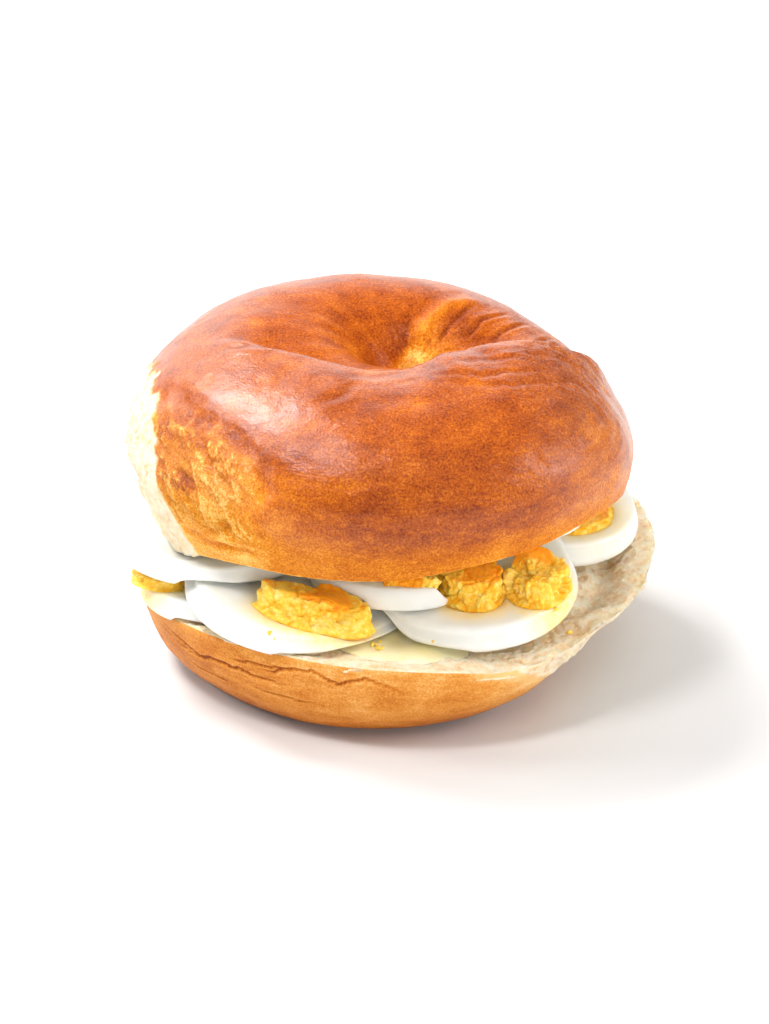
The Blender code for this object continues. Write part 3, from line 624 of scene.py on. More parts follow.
def piece(name, points, faces, finish, slot, node=None, **facts):
    """One shown piece from points in millimetres, with a value per point for each fact."""
    mesh = bpy.data.meshes.new(name)
    shift = np.array((*MIDDLE, 0))
    mesh.from_pydata(((np.asarray(points) - shift) * MM).tolist(), [], faces)
    mesh.materials.append(finish)
    mesh.shade_smooth()
    for fact, values in facts.items():
        layer = mesh.attributes.new(fact, "FLOAT", "POINT")
        layer.data.foreach_set("value", np.ascontiguousarray(values, dtype=np.float32).ravel())
    made = bpy.data.objects.new(name, mesh)
    bpy.context.scene.collection.objects.link(made)
    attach(made, "root")
    if node:
        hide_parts(node)


def laid_on(line, rows):
    """The line in short steps that wander a little, each moved to the nearest point of the surface."""
    line = np.array(line, float)
    shares = [np.arange(0, 1, LINE_STEP / np.linalg.norm(b - a))[:, None] for a, b in zip(line, line[1:])]
    spots = [mix(a, b, share) for a, b, share in zip(line, line[1:], shares)]
    spots = np.concatenate(spots + [line[-1:]])
    spots = spots + LINE_WANDER * np.stack([bumps(spots, 2.6, 51 + i) for i in range(3)], -1)
    seats = rows.reshape(-1, 3)
    return [seats[((seats - spot) ** 2).sum(-1).argmin()] for spot in spots]


def wrinkled(points, wrinkles):
    """How far a set of wrinkles stands out at each point. A groove has a low raised lip along it."""
    uneven = 1 + 0.35 * bumps(points, 5, 57)
    total = np.zeros(points.shape[:-1])
    for line, width, height in wrinkles:
        away, _, along = near_line(points, laid_on(line, points))
        lips = GROOVE_LIPS * np.exp(-(((away - 2.1 * width) / width) ** 2))
        profile = np.exp(-((away / width) ** 2)) - lips
        total += height * profile * smooth(np.minimum(along, 1 - along) / 0.3)
    return total * uneven


def crown_tear(points):
    """How torn the crown's side is at each point: 0 in the crust and 1 in the soft crumb at its left."""
    angle = np.degrees(np.arctan2(points[..., 1], points[..., 0])) % 360
    top = np.interp(angle, list(TORN_TOP), list(TORN_TOP.values()))
    ragged = 1.4 * layered(points, 3.0, 61, 3)
    inside = smooth((top + ragged - points[..., 2]) / 4.0 + 0.5)
    return inside * smooth((angle + ragged - min(TORN_TOP)) / 3) * smooth((max(TORN_TOP) - angle) / 3)


def crown_rows(angle):
    """The crown's closed sections, and each point's t, its flag for crust and its nearness to the rim."""
    t = np.concatenate([np.linspace(i, i + 1, count)[min(i, 1) :] for i, count in enumerate(CROWN_ROWS)])
    skin = crown_skin(angle, t)
    cut = cut_face(crown_under, CROWN_EDGE, HOLE_RADIUS * 1.2, angle, CUT_SHARES)
    throat = np.linspace(0.2, 0.8, 4)
    bore = mix(cut[:, -1:], skin[:, :1], throat[None, :, None])
    rows = np.concatenate([skin, cut, bore], axis=1)
    at = np.concatenate([t, np.full(len(CUT_SHARES), 3.0), 0 * throat])
    crust = np.concatenate([np.ones(len(t)), 0 * CUT_SHARES, 0 * throat])
    rim = np.concatenate([np.exp(-(((3 - t) / 0.05) ** 2)), np.exp(-((CUT_SHARES / 0.02) ** 2)), 0 * throat])
    return rows, *(np.broadcast_to(values, rows.shape[:2]) for values in (at, crust, rim))


def crown_piece(finish):
    """The bagel's upper half: its wrinkled crust, its cut face, its torn side and its narrow hole."""
    angle = front_steps(CROWN_STEPS)
    rows, t, crust, rim = crown_rows(angle)
    torn = crown_tear(rows) * crust * (t > 1)
    crinkle = crown_crinkle(rows) * crust
    crumple = 0.35 - np.abs(layered(rows @ CRINKLE_AXES.T, 3.4, 75, 4))
    creases = wrinkled(rows, CROWN_WRINKLES)
    streaks = dimple_streaks(rows, angle, t) * crust
    lip = lip_creases(rows) * crust
    fine = creases + 0.10 * layered(rows * (1, 1, 2.2), 3.5, 71, 3) + 1.2 * crinkle * crumple
    fine += 0.45 * dimple_pleats(rows, angle, t) + 0.08 * streaks + 0.22 * lip
    fibres = 0.6 + 0.6 * layered(rows * (1.0, 1.0, 0.45), 2.2, 81, 3)
    fine = mix(fine, fibres, torn) * smooth(t / 0.3) * smooth((3 - t) / 0.12) * crust
    rows = rows + outward(rows) * fine[..., None]
    # Darker in the wrinkles' grooves: painted shade. Paler where they stand out: a painted highlight.
    bake = crown_bake(rows, t) + 0.16 * smooth(-creases / 0.5) - 0.12 * smooth(creases / 0.5)
    # Paler on the crumpled ridges of the left front: a painted highlight.
    bake -= 0.45 * smooth((crumple - 0.16) / 0.18) * smooth((-rows[..., 0] - 24) / 8) * crinkle
    # Paler on the raised streaks and lip creases and darker in their grooves: painted highlight and shade.
    # Paler where torn: the crumb's own colour.
    bake -= 0.06 * streaks + 0.10 * lip + 0.22 * smooth(torn / 0.4)
    bake = np.clip(bake, 0.02, 0.9)
    chipped = 0.5 * np.abs(layered(place(angle, 50.0, 0.0, 0), 2.6, 65, 3))
    rows[..., :2] *= 1 - (chipped * rim / 50)[..., None]
    piece("bread_crown", *ring(rows), finish, "crust_brown", "crown", torn=np.maximum(torn, 1 - crust),
          bake=bake, crinkle=crinkle, glaze=crown_glaze(rows, t, bake))


def crown_crinkle(points):
    """Where the crown's crust is drawn into fine wrinkles: its left front, and the walls of its dimple."""
    x, y, z = points[..., 0], points[..., 1], points[..., 2]
    side = smooth((-x - 22) / 12) * smooth((-y - 12) / 10) * smooth((66 - z) / 6) * smooth((z - 40) / 6)
    wall = smooth((13 - np.hypot(x - 7, (y - 15) * 1.2)) / 7) * smooth((69 - z) / 4)
    right = 0.5 * smooth((x - 20) / 14) * smooth((24 - y) / 12) * smooth((z - 56) / 8)
    return np.clip(side + 0.7 * wall + right, 0, 1)


def dimple_streaks(points, angle, t):
    """Fine lines that run down into the dimple, from -1 to 1."""
    wall = smooth((1.15 - t) / 0.3) * smooth((t - 0.1) / 0.2)
    behind = smooth((points[..., 1] - points[..., 0] * 0.4 + 6) / 8)
    return layered(xyz(angle * 0.28, t * 3.5, 0), 2.2, 77, 3) * wall * behind


def dimple_pleats(points, angle, t):
    """Broad soft pleats down the right wall of the dimple, from -1 to 1."""
    wall = smooth((1.3 - t) / 0.3) * smooth(t / 0.3)
    return bumps(xyz(angle * 0.1, t * 1.2, 0), 1.0, 79) * wall * smooth((points[..., 0] - 4) / 8)


def crown_bake(points, t):
    """How dark the crown's crust is baked at each point, from 0 to 1."""
    x, y, z = points[..., 0], points[..., 1], points[..., 2]
    from_valley, _, _ = near_line(points, SIDE_VALLEY)
    _, left, _ = near_line(points, FRONT_FOLD)
    wall = smooth(left / 3) * smooth((1.25 - t) / 0.3)
    behind = smooth(left / 1.5) * smooth((11 - left) / 7)
    right = smooth((x + 1.0) / 7)
    from_scar = np.linalg.norm((points - SCAR_MIDDLE) / SCAR_REACH, axis=-1)
    shares = {
        "rest": 1,
        "shoulder": smooth((z - 41) / 13),
        "top": smooth((z - 57) / 9),
        "low_front": np.exp(-(((x - 4) / 20) ** 2)) * smooth((-y - 20) / 15) * smooth((56 - z) / 8),
        "high_front": np.exp(-(((x - 16) / 24) ** 2) - (((y + 46) / 15) ** 2) - (((z - 56) / 8) ** 2)),
        "left_front": smooth((-x - 18) / 14) * smooth((-y - 16) / 12) * smooth((63 - z) / 8),
        "valley": np.exp(-((from_valley / 3.0) ** 2)),
        "far_wall": wall * (1 - right),
        "right_wall": wall * right * smooth((0.95 - t) / 0.5) * smooth((44 - x) / 12),
        "throat": smooth((mix(0.34, 0.50, right) - t) / 0.3),
        "behind_fold": behind * smooth((x - 4) / 8) * smooth((48 - x) / 10),
        "throat_edge": smooth(left) * smooth((6 - left) / 5) * smooth((9 - x) / 4) * smooth((x + 14) / 6),
        "rim": smooth((t - 2.84) / 0.12),
        "scar": smooth(1.2 - from_scar),
        "uneven": layered(points, 13, 91, 3),
    }
    dark = sum(CROWN_TONES[part] * share for part, share in shares.items())
    return np.clip(dark, PALEST_CROWN, DARKEST_CROWN)


def crown_glaze(points, t, bake):
    """How glossy the crown's crust is: dull where it is pale, low down and inside its dimple."""
    x, y, z = points[..., 0], points[..., 1], points[..., 2]
    _, left, _ = near_line(points, FRONT_FOLD)
    inside = smooth(left / 3) * smooth((1.25 - t) / 0.35)
    left_front = smooth((-x - 22) / 8) * smooth((-y - 14) / 8) * smooth((z - 47) / 6)
    glaze = mix(0.2, 1, smooth((bake - 0.22) / 0.3)) * mix(1, 0.25, inside)
    return np.maximum(glaze * mix(0.25, 1, smooth((z - 42) / 10)), left_front)


def lip_creases(points):
    """Fine creases that run along the lip of the crown's front fold, from -1 to 1."""
    away, left, along = near_line(points, FRONT_FOLD)
    x = points[..., 0]
    on_lip = smooth((14 + left) / 7) * smooth((1.5 - left) / 2)
    middle = smooth((x + 14) / 10) * smooth((40 - x) / 12)
    return layered(xyz(along * 8, away * 0.6, 0), 1.0, 95, 3) * on_lip * middle


def heel_rows(angle):
    """The heel's closed sections, and each point's flags for under, side and cut, its t and its share."""
    t = np.linspace(0, 1, HEEL_SIDE_ROWS)
    outer, inner = HEEL_CUT_ROWS
    share = np.concatenate([np.linspace(0.004, 0.3, outer), np.linspace(0.33, 1.0, inner)])
    foot = mix(HOLE_RADIUS * 1.5, around(HEEL_FOOT, angle), np.linspace(0, 0.94, HEEL_UNDER_ROWS))
    under = place(angle, foot, 0, np.linspace(1.0, 0.05, HEEL_UNDER_ROWS))
    side = heel_side(angle, t)
    cut = cut_face(heel_top, HEEL_RIM, HOLE_RADIUS * 1.2, angle, share)
    bore = mix(cut[:, -1:], under[:, :1], np.linspace(0.15, 0.85, 5)[None, :, None])
    rows = np.concatenate([under, side, cut, bore], axis=1)
    before, after = np.zeros(under.shape[1]), np.zeros(bore.shape[1])
    facts = (
        np.concatenate([before + 1, 0 * t, 0 * share, after]),
        np.concatenate([before, 0 * t + 1, 0 * share, after]),
        np.concatenate([before, 0 * t, 0 * share + 1, after]),
        np.concatenate([before, t, 0 * share + 1, after + 1]),
        np.concatenate([before, 0 * t, share, after]),
    )
    return rows, *(np.broadcast_to(values, rows.shape[:2]) for values in facts)


def heel_piece(finish):
    """The bagel's lower half: its cracked crust, its torn right side, its crumb and its flat foot."""
    angle = front_steps(HEEL_STEPS)
    rows, is_under, is_side, is_cut, t, share = heel_rows(angle)
    z = rows[..., 2]
    turn = (angle + 180) % 360 - 180
    cracks = wrinkled(rows, HEEL_CRACKS)
    flakes = wrinkled(rows, HEEL_FLAKES)
    low = np.interp(turn, list(HEEL_TORN), list(HEEL_TORN.values()))
    torn_side = smooth((62 - np.abs(turn + 12)) / 6)
    torn = smooth((z - low + 1.5 * layered(rows, 3.5, 63, 3)) / 4 + 0.5) * torn_side * is_side
    torn = np.clip(np.maximum(torn, 1 - is_under - is_side) + smooth((flakes - 0.12) / 0.2), 0, 1)
    shell = (cracks + flakes + 0.10 * layered(rows, 3.0, 73, 3)) * (1 - torn) * np.sin(t * np.pi) ** 0.3
    shell += 0.6 * layered(rows * (0.8, 0.8, 1.3), 2.8, 85, 4) * torn
    crumb = heel_crumb(rows, turn) * smooth(share / 0.02)
    fine = shell * is_side * smooth(z / 1.5) + crumb * is_cut
    rows = rows + outward(rows) * fine[..., None]
    bake = heel_bake(rows, t, cracks) - 0.30 * np.exp(-(((rows[..., 2] - low) / 3.5) ** 2)) * torn_side
    piece("bread_heel", *ring(rows), finish, "crust_tan", "heel", torn=torn, bake=np.clip(bake, 0, 1),
          crinkle=0 * t, glaze=1 + 0 * t)


def heel_crumb(points, turn):
    """How far the crumb of the cut face stands out: ridged where it is torn at the right, else even."""
    rho = np.hypot(points[..., 0], points[..., 1])
    even = 0.45 * layered(points * (0.6, 1.0, 1.0), 2.6, 83, 3)
    ridged = 0.55 - 1.1 * np.abs(layered(points * (0.8, 1.0, 1.0), 6.0, 87, 5))
    rough = smooth((75 - np.abs(turn + 5)) / 20) * smooth((rho - 36) / 5)
    return mix(even, ridged, rough) * smooth((rho - 20) / 6)


def heel_bake(points, t, cracks):
    """How dark the heel's crust is: baked darker at its left, with painted shade near its foot and in its
    cracks and a painted highlight on their raised lips.
    """
    # Darker towards the foot: painted shade.
    bake = 0.38 + 0.30 * smooth((8 - points[..., 2]) / 8) + 0.07 * layered(points, 11, 93, 3)
    bake += 0.10 * smooth((-points[..., 0] - 10) / 20) - 0.10 * smooth((t - 0.85) / 0.15)
    # Darker in the cracks: painted shade. Paler on their raised lips: a painted highlight.
    return bake + 0.42 * smooth(-cracks / 0.3) - 0.10 * smooth(cracks / 0.12)


def spread_piece(finish):
    """The butter, a thin uneven skin on the heel's cut face."""
    angle = steps(SPREAD_STEPS)
    edge = around(SPREAD_EDGE, angle) + 0.8 * bumps(place(angle, 40.0, 0.0, 0), 9, 5)
    inner = HOLE_RADIUS * 1.2 + 2.5
    shares = np.linspace(0, 1, 26) ** 1.4
    profile = [(share, 0.0) for share in shares] + [(1.0, 0.5)]
    profile += [(share, 1.0) for share in shares[::-1][:-1]] + [(0.004, 0.75), (0.0, 0.45)]
    rows = []
    for share, up in profile:
        points = place(angle, mix(edge, inner, share), 0.0, share)
        swirl = 0.25 * layered(points * (1, 1.6, 0), 7, 15, 3)
        deep = (SPREAD_THICKNESS + GAP + swirl) * mix(0.25, 1, smooth(share / 0.15))
        points[..., 2] = heel_top(points[..., 0], points[..., 1]) + mix(-SUNK, deep, up)
        rows.append(points)
    piece("butter_smear", *ring(np.concatenate(rows, axis=1)), finish, "butter", "spread")


def white_piece(name, room, finish):
    """One slice of egg white, with a rounded rim and a shallow dish under its yolk."""
    spec = SLICES[name]
    angle = np.arange(SLICE_STEPS) * 360 / SLICE_STEPS
    cx, cy, cz = spec["at"]
    lean = np.sin(np.radians(spec["lean"])) * spec["thickness"]
    shift = lean * np.cos(np.radians(spec["to"])), lean * np.sin(np.radians(spec["to"]))
    radius = spec["radius"] + 0.5 * bumps(place(angle, 20.0, cz * 7, 0), 14, 9)
    edge = spec["top"]
    under = [(share, 0.0) for share in np.linspace(0.02, 0.955, 12)]
    low = [(0.955 + 0.045 * np.sin(a), 0.2 * (1 - np.cos(a))) for a in quarter(7)]
    wall = [(mix(1.0, edge, smooth(u) * 0.62), mix(0.2, 0.82, u)) for u in np.linspace(0, 1, 9)[1:]]
    start = wall[-1][0]
    end = edge - 0.035
    brow = [(end + (start - end) * np.cos(a), 0.82 + 0.18 * np.sin(a)) for a in quarter(8)]
    over = [(share, 1.0) for share in np.linspace(end, 0.02, 24)[1:]]
    profile = under + low + wall + brow + over
    rings = []
    for share, up in profile:
        x = cx + shift[0] * up + radius * share * np.cos(np.radians(angle))
        y = cy + shift[1] * up + radius * share * np.sin(np.radians(angle))
        down = underside(name, room, x, y)
        high = topside(name, room, x, y) - dish(name, x, y)
        rings.append(xyz(x, y, mix(down, high, up)))
    rings = np.array(rings)
    rings[..., 2] += 0.10 * layered(rings, 7.0, 17, 3) * np.array([up for _, up in profile])[:, None]
    points, faces = lens(rings)
    stain = dish(name, *points[:, :2].T, STAIN_LIP) / DISH_DEPTH
    piece("egg_white_" + name, points, faces, finish, "egg_white", "white_" + name, stain=stain)


def yolk_profile():
    """A lump's outline from the middle of its underside to the middle of its top, as (share out, up)."""
    under = [(share, 0.0) for share in np.linspace(0.03, 0.9, 8)]
    skirt = [(1.02, 0.0), (1.05, 0.03), (1.05, 0.08), (1.03, 0.14)]
    wall = [(mix(1.01, 0.97, u), mix(0.2, 0.72, u)) for u in np.linspace(0, 1, 16)]
    brow = [(0.87 + 0.10 * np.cos(a), 0.72 + 0.28 * np.sin(a)) for a in quarter(12)]
    over = [(share, 1.0) for share in np.linspace(0.87, 0.03, 30)[1:]]
    return under + skirt + wall + brow + over


def yolk_piece(name, slice_room, lump, room, finish, node):
    """One broken lump of yolk: smooth on top, crumbled at its sides, spreading a little at its foot."""
    (cx, cy), length, width, turn, proud = SLICES[name]["yolks"][lump]
    angle = np.radians(np.arange(YOLK_STEPS) * 360 / YOLK_STEPS)
    broken = 1 - 0.07 * (1 + bumps(place(np.degrees(angle), 12.0, 31.0 * lump, 0), 7, 13 + lump))
    rings = []
    for share, up in yolk_profile():
        u, v = length * share * broken * np.cos(angle), width * share * broken * np.sin(angle)
        dx, dy = lump_axes(u, v, -turn)
        x, y = cx + dx, cy + dy
        down = yolk_bottom(name, slice_room, x, y)
        high = yolk_top(name, slice_room, lump, room, x, y)
        rings.append(xyz(x, y, mix(down, high, up)))
    rings = np.array(rings)
    shares, ups = np.array(yolk_profile()).T[..., None]
    warped = rings + 0.6 * np.stack([layered(rings, 2.0, 45 + i, 2) for i in range(3)], -1)
    border, value = chunks(warped, 4.6, 33 + lump)
    small_border, small_value = chunks(warped, 1.3, 36 + lump)
    side = smooth((shares - 0.72) / 0.2) * smooth(ups / 0.1)
    patch = smooth(0.5 + 1.3 * bumps(rings, 6.0, 47 + lump)) * smooth(ups / 0.9)
    rough = np.maximum(side, 0.85 * patch)
    depth = (1.9 * (value - 0.62) - 0.5 * smooth(1 - border / 0.14)) * rough
    depth += (0.2 * smooth(small_border / 0.5) + 0.45 * (small_value - 0.7)) * rough
    depth += 0.28 * layered(rings, 0.9, 39, 2) * mix(0.35, 1, rough)
    depth *= smooth(ups / 0.15) * min(1.0, 0.35 + proud / 4)
    out = rings - np.array((cx, cy, rings[..., 2].mean() - 3))
    out /= np.linalg.norm(out, axis=-1, keepdims=True)
    rings = rings + out * depth[..., None]
    # Paler on the tops of the small lumps and deeper orange between them: painted highlight and shade. The
    # rest is random tone.
    pale = 0.25 + 0.45 * smooth(small_border / 0.45) + 0.25 * layered(rings, 2.6, 49, 3)
    skin = smooth((ups - 0.88) / 0.1) * smooth((1.0 - shares) / 0.08) * (1 - 0.7 * patch)
    grain = np.append(pale * mix(0.5, 1, rough), [0, 0.5])
    piece("egg_" + node, *lens(rings), finish, "yolk", node, skin=np.append(skin, [0, 1]), grain=grain)


def shard_piece(room, finish):
    """The broken ring of white across the two front slices, thinner at its ends and low at its right one."""
    cx, cy, cz = SHARD["middle"]
    angle = np.linspace(SHARD["start"], SHARD["end"], SHARD_STEPS)
    end = np.abs(np.linspace(-1, 1, SHARD_STEPS)) ** 6
    tip = smooth(np.linspace(-9, 1, SHARD_STEPS))
    inner = np.linspace(*SHARD["inner"], SHARD_STEPS) + 0.4 * bumps(place(angle, 14.0, 3.0, 0), 4, 31)
    outer = SHARD["outer"] - 0.8 * end
    most_low = cz + mix(3.0, 0.6, smooth((angle - 285) / 10))
    least_high = cz + SHARD["thickness"] * (1 - 0.35 * end - 0.4 * tip)
    under = [(across, 0.0) for across in np.linspace(0.1, 0.93, 10)]
    wall = [(0.93 + 0.07 * np.sin(a), 0.35 * (1 - np.cos(a))) for a in quarter(6)]
    brow = [(0.85 + 0.15 * np.cos(a), 0.35 + 0.65 * np.sin(a)) for a in quarter(10)]
    over = [(across, 1.0) for across in np.linspace(0.85, 0.12, 12)[1:]]
    inside = [(0.12 - 0.12 * np.sin(a), 0.5 + 0.5 * np.cos(a)) for a in quarter(6)]
    sections = []
    for across, up in under + wall + brow + over + inside:
        rho = mix(inner, outer, across)
        x = cx + rho * np.cos(np.radians(angle))
        y = cy + rho * np.sin(np.radians(angle))
        low = np.maximum(cz, np.minimum(height_at(room[0], x, y), most_low))
        high = np.maximum(least_high, low + LEAST_WHITE * (1 - 0.7 * tip))
        sections.append(xyz(x, y, mix(low, np.minimum(high, height_at(room[1], x, y)), up)))
    rows = np.array(sections).transpose(1, 0, 2)
    stain = np.clip(1 - (np.hypot(rows[..., 0] - cx, rows[..., 1] - cy) - 10) / 9, 0, 1)
    piece("egg_white_shard", *sleeve(rows), finish, "egg_white", "white_shard", stain=stain)


def strip_piece(finish):
    """Yolk that clings to the top of the broken ring of white, towards its right end."""
    cx, cy, cz = SHARD["middle"]
    angle = np.linspace(STRIP_START, STRIP_END, STRIP_STEPS)[:, None]
    inner = mix(*SHARD["inner"], (angle - SHARD["start"]) / (SHARD["end"] - SHARD["start"]))
    end = smooth(np.minimum(angle - STRIP_START, STRIP_END - angle) / 5)
    turn = np.radians(np.arange(STRIP_SIDES) * 360 / STRIP_SIDES)
    rho = mix(inner, SHARD["outer"], 0.30 + 0.36 * end * np.cos(turn))
    rows = place(angle, rho, cz + SHARD["thickness"] + 0.2 + 1.2 * end * np.sin(turn), 0) + (cx, cy, 0)
    border, value = chunks(rows, 1.4, 38)
    grown = (0.35 * smooth(border / 0.5) + 0.4 * (value - 0.6) + 0.2 * layered(rows, 0.9, 39, 2)) * end
    rows = rows + place(angle, np.cos(turn), np.sin(turn), 0) * grown[..., None]
    # Paler on the tops of the small lumps and deeper orange between them: painted highlight and shade. The
    # rest is random tone.
    grain = 0.25 + 0.4 * smooth(border / 0.45) + 0.2 * layered(rows, 2.6, 49, 3)
    skin = smooth(0.6 + bumps(rows, 4.0, 47))
    piece("egg_yolk_strip", *sleeve(rows), finish, "yolk", grain=grain, skin=skin)


def crumbs_piece(pile, finish):
    """Loose crumbs of yolk, on what lies under each."""
    chance = np.random.default_rng(7)
    turn = np.radians(np.arange(CRUMB_SIDES) * 360 / CRUMB_SIDES)
    lean = np.radians(np.linspace(-80, 80, CRUMB_ROWS))[:, None]
    ball = xyz(np.cos(lean) * np.cos(turn), np.cos(lean) * np.sin(turn), 0.75 * np.sin(lean))
    points, faces, count = [], [], 0
    for (cx, cy), spread, number in CRUMBS:
        for x, y, size in zip(chance.normal(cx, spread, number), chance.normal(cy, spread, number),
                              chance.uniform(*CRUMB_SIZES, number)):
            seat = np.array((x, y, height_at(pile, x, y) + 0.35 * size))
            broken = 1 + 0.45 * layered(ball * size + seat, 0.8, 43, 2)
            made, corners = lens(ball * size * broken[..., None] + seat)
            points.append(made)
            faces += [[corner + count for corner in face] for face in corners]
            count += len(made)
    points = np.concatenate(points)
    grain = 0.6 + 0.3 * bumps(points, 1.5, 44)
    piece("egg_crumbs", points, faces, finish, "yolk", grain=grain, skin=0 * grain)


def yolk_label(name, lump):
    """The node of one lump of a slice."""
    if len(SLICES[name]["yolks"]) == 1:
        return "yolk_" + name
    return "yolk_%s_%d" % (name, lump + 1)


def filling(white, yolk):
    """The slices, the shard and the lumps of yolk, each fitted between what lies under and over it."""
    roof = node_heights("crown", np.minimum, NO_ROOF)
    pile = np.maximum(node_heights("heel", np.maximum, NOTHING), node_heights("spread", np.maximum, NOTHING))
    for name in SLICES:
        if name == SHARD["before"]:
            shard_piece(room_in(pile, roof, SHARD_REACH), white)
            pile = np.maximum(pile, node_heights("white_shard", np.maximum, NOTHING))
        slice_room = room_in(pile, roof, SLICE_REACH)
        white_piece(name, slice_room, white)
        pile = np.maximum(pile, node_heights("white_" + name, np.maximum, NOTHING))
        base = pile
        for lump in range(len(SLICES[name]["yolks"])):
            node = yolk_label(name, lump)
            yolk_piece(name, slice_room, lump, room_in(base, roof, YOLK_REACH), yolk, node)
            pile = np.maximum(pile, node_heights(node, np.maximum, NOTHING))
        if name == SHARD["before"]:
            strip_piece(yolk)
    crumbs_piece(pile, yolk)


def new_material(name):
    """A new material, its nodes, its shader, and each point's place in the object."""
    made = bpy.data.materials.new(name)
    made.use_nodes = True
    tree = made.node_tree
    return made, tree, tree.nodes["Principled BSDF"], add(tree, "ShaderNodeTexCoord").outputs["Object"]


def feed(tree, node, sockets):
    """Sets a node's sockets to values, or joins them to other nodes' outputs."""
    for socket, value in sockets.items():
        if isinstance(value, bpy.types.NodeSocket):
            tree.links.new(value, node.inputs[socket])
        else:
            node.inputs[socket].default_value = value


def add(tree, kind, sockets=None, **settings):
    """One node with its settings, its sockets fed."""
    node = tree.nodes.new(kind)
    for setting, value in settings.items():
        setattr(node, setting, value)
    feed(tree, node, sockets or {})
    return node


def fact(tree, name):
    """A value that the mesh holds for each of its points."""
    return add(tree, "ShaderNodeAttribute", attribute_name=name).outputs["Fac"]


def maths(tree, operation, a, b=0.0):
    """One sum of two values."""
    return add(tree, "ShaderNodeMath", {0: a, 1: b}, operation=operation).outputs[0]


def swung(tree, value, texture, strength):
    """A value that a texture moves up and down about its middle."""
    swing = maths(tree, "SUBTRACT", texture, 0.5)
    return maths(tree, "ADD", value, maths(tree, "MULTIPLY", swing, strength))


def blend(tree, a, b, share):
    """A colour between two colours."""
    return add(tree, "ShaderNodeMix", {0: share, 6: a, 7: b}, data_type="RGBA").outputs[2]


def ramp(tree, value, stops):
    """A colour ramp through stops of (position, colour)."""
    node = add(tree, "ShaderNodeValToRGB", {0: value})
    bar = node.color_ramp
    while len(bar.elements) < len(stops):
        bar.elements.new(0.5)
    for element, (position, colour) in zip(bar.elements, stops):
        element.position = position
        element.color = (*colour, 1)
    return node.outputs[0]


def span(tree, value, low, high, start, end):
    """A value that goes from start to end as another goes from low to high."""
    return add(tree, "ShaderNodeMapRange", {0: value, 1: low, 2: high, 3: start, 4: end}).outputs[0]


def noise(tree, where, size, detail=4.0, rough=0.55, stretch=(1, 1, 1)):
    """A noise with features of a size in millimetres, longer along an axis where its stretch is bigger."""
    scale = add(tree, "ShaderNodeMapping", {"Vector": where, "Scale": [1 / s for s in stretch]})
    node = add(tree, "ShaderNodeTexNoise", {"Vector": scale.outputs[0], "Scale": 1 / (size * MM),
                                            "Detail": detail, "Roughness": rough})
    return node.outputs[0]


def cells(tree, where, size):
    """The distance from the middle of the nearest of cells of a size in millimetres."""
    return add(tree, "ShaderNodeTexVoronoi", {"Vector": where, "Scale": 1 / (size * MM)}).outputs[0]


def bumped(tree, height, distance, strength=1.0, under=None):
    """A surface that stands out by a height times a distance in millimetres, over another such surface."""
    sockets = {"Height": height, "Distance": distance * MM, "Strength": strength}
    if under is not None:
        sockets["Normal"] = under
    return add(tree, "ShaderNodeBump", sockets).outputs[0]


def bread_material(name, stops, shine, speckle):
    """Glossy baked crust, and soft crumb where the piece is torn or cut."""
    made, tree, shader, where = new_material(name)
    blotch = noise(tree, where, size=8.0, detail=6.0, rough=0.62)
    grain = noise(tree, where, size=0.45, detail=3.0, rough=0.65)
    streak = noise(tree, where, size=2.2, detail=5.0, rough=0.62, stretch=(3.0, 3.0, 0.8))
    # The crust's colour follows its bake, with the painted shade and painted highlights that the meshes add
    # to it.
    tone = fact(tree, "bake")
    for texture, strength in ((blotch, 0.52), (grain, speckle), (streak, 0.55)):
        tone = swung(tree, tone, texture, strength)
    creased = noise(tree, where, size=1.6, detail=5.0, rough=0.6, stretch=(1.0, 1.0, 1.8))
    folded = maths(tree, "ABSOLUTE", maths(tree, "SUBTRACT", creased, 0.5))
    lines = maths(tree, "MULTIPLY", maths(tree, "SUBTRACT", 0.08, folded), fact(tree, "crinkle"))
    share = span(tree, swung(tree, fact(tree, "torn"), streak, 0.7), 0.28, 0.7, 0.0, 1.0)
    # The crumb's colour follows the same noise that raises its soft bumps, so its hollows are darker:
    # painted shade.
    fluff = noise(tree, where, size=2.6, detail=7.0, rough=0.7)
    holes = span(tree, cells(tree, where, size=1.6), 0.0, 0.5, 0.0, 1.0)
    soft = bumped(tree, maths(tree, "ADD", holes, maths(tree, "MULTIPLY", fluff, 2.2)), distance=0.6)
    peel = bumped(tree, grain, distance=0.08, under=bumped(tree, streak, distance=0.40, strength=0.6))
    skin = bumped(tree, lines, distance=1.8, under=peel)
    feed(tree, shader, {
        "Base Color": blend(tree, ramp(tree, tone, stops), ramp(tree, fluff, CRUMB), share),
        "Coat Weight": maths(tree, "MULTIPLY", fact(tree, "glaze"), span(tree, share, 0.0, 1.0, shine, 0.0)),
        "Coat Roughness": 0.23,
        "Coat IOR": 1.45,
        "Coat Normal": skin,
        "Specular IOR Level": span(tree, share, 0.0, 1.0, 0.06, 0.2),
        "Roughness": span(tree, share, 0.0, 1.0, 0.5, 0.9),
        "Subsurface Weight": span(tree, share, 0.0, 1.0, 0.0, 0.5),
        "Subsurface Radius": (1.0, 0.7, 0.4),
        "Subsurface Scale": 0.003,
        "Normal": add(tree, "ShaderNodeMix", {0: share, 4: skin, 5: soft}, data_type="VECTOR").outputs[1],
    })
    return made


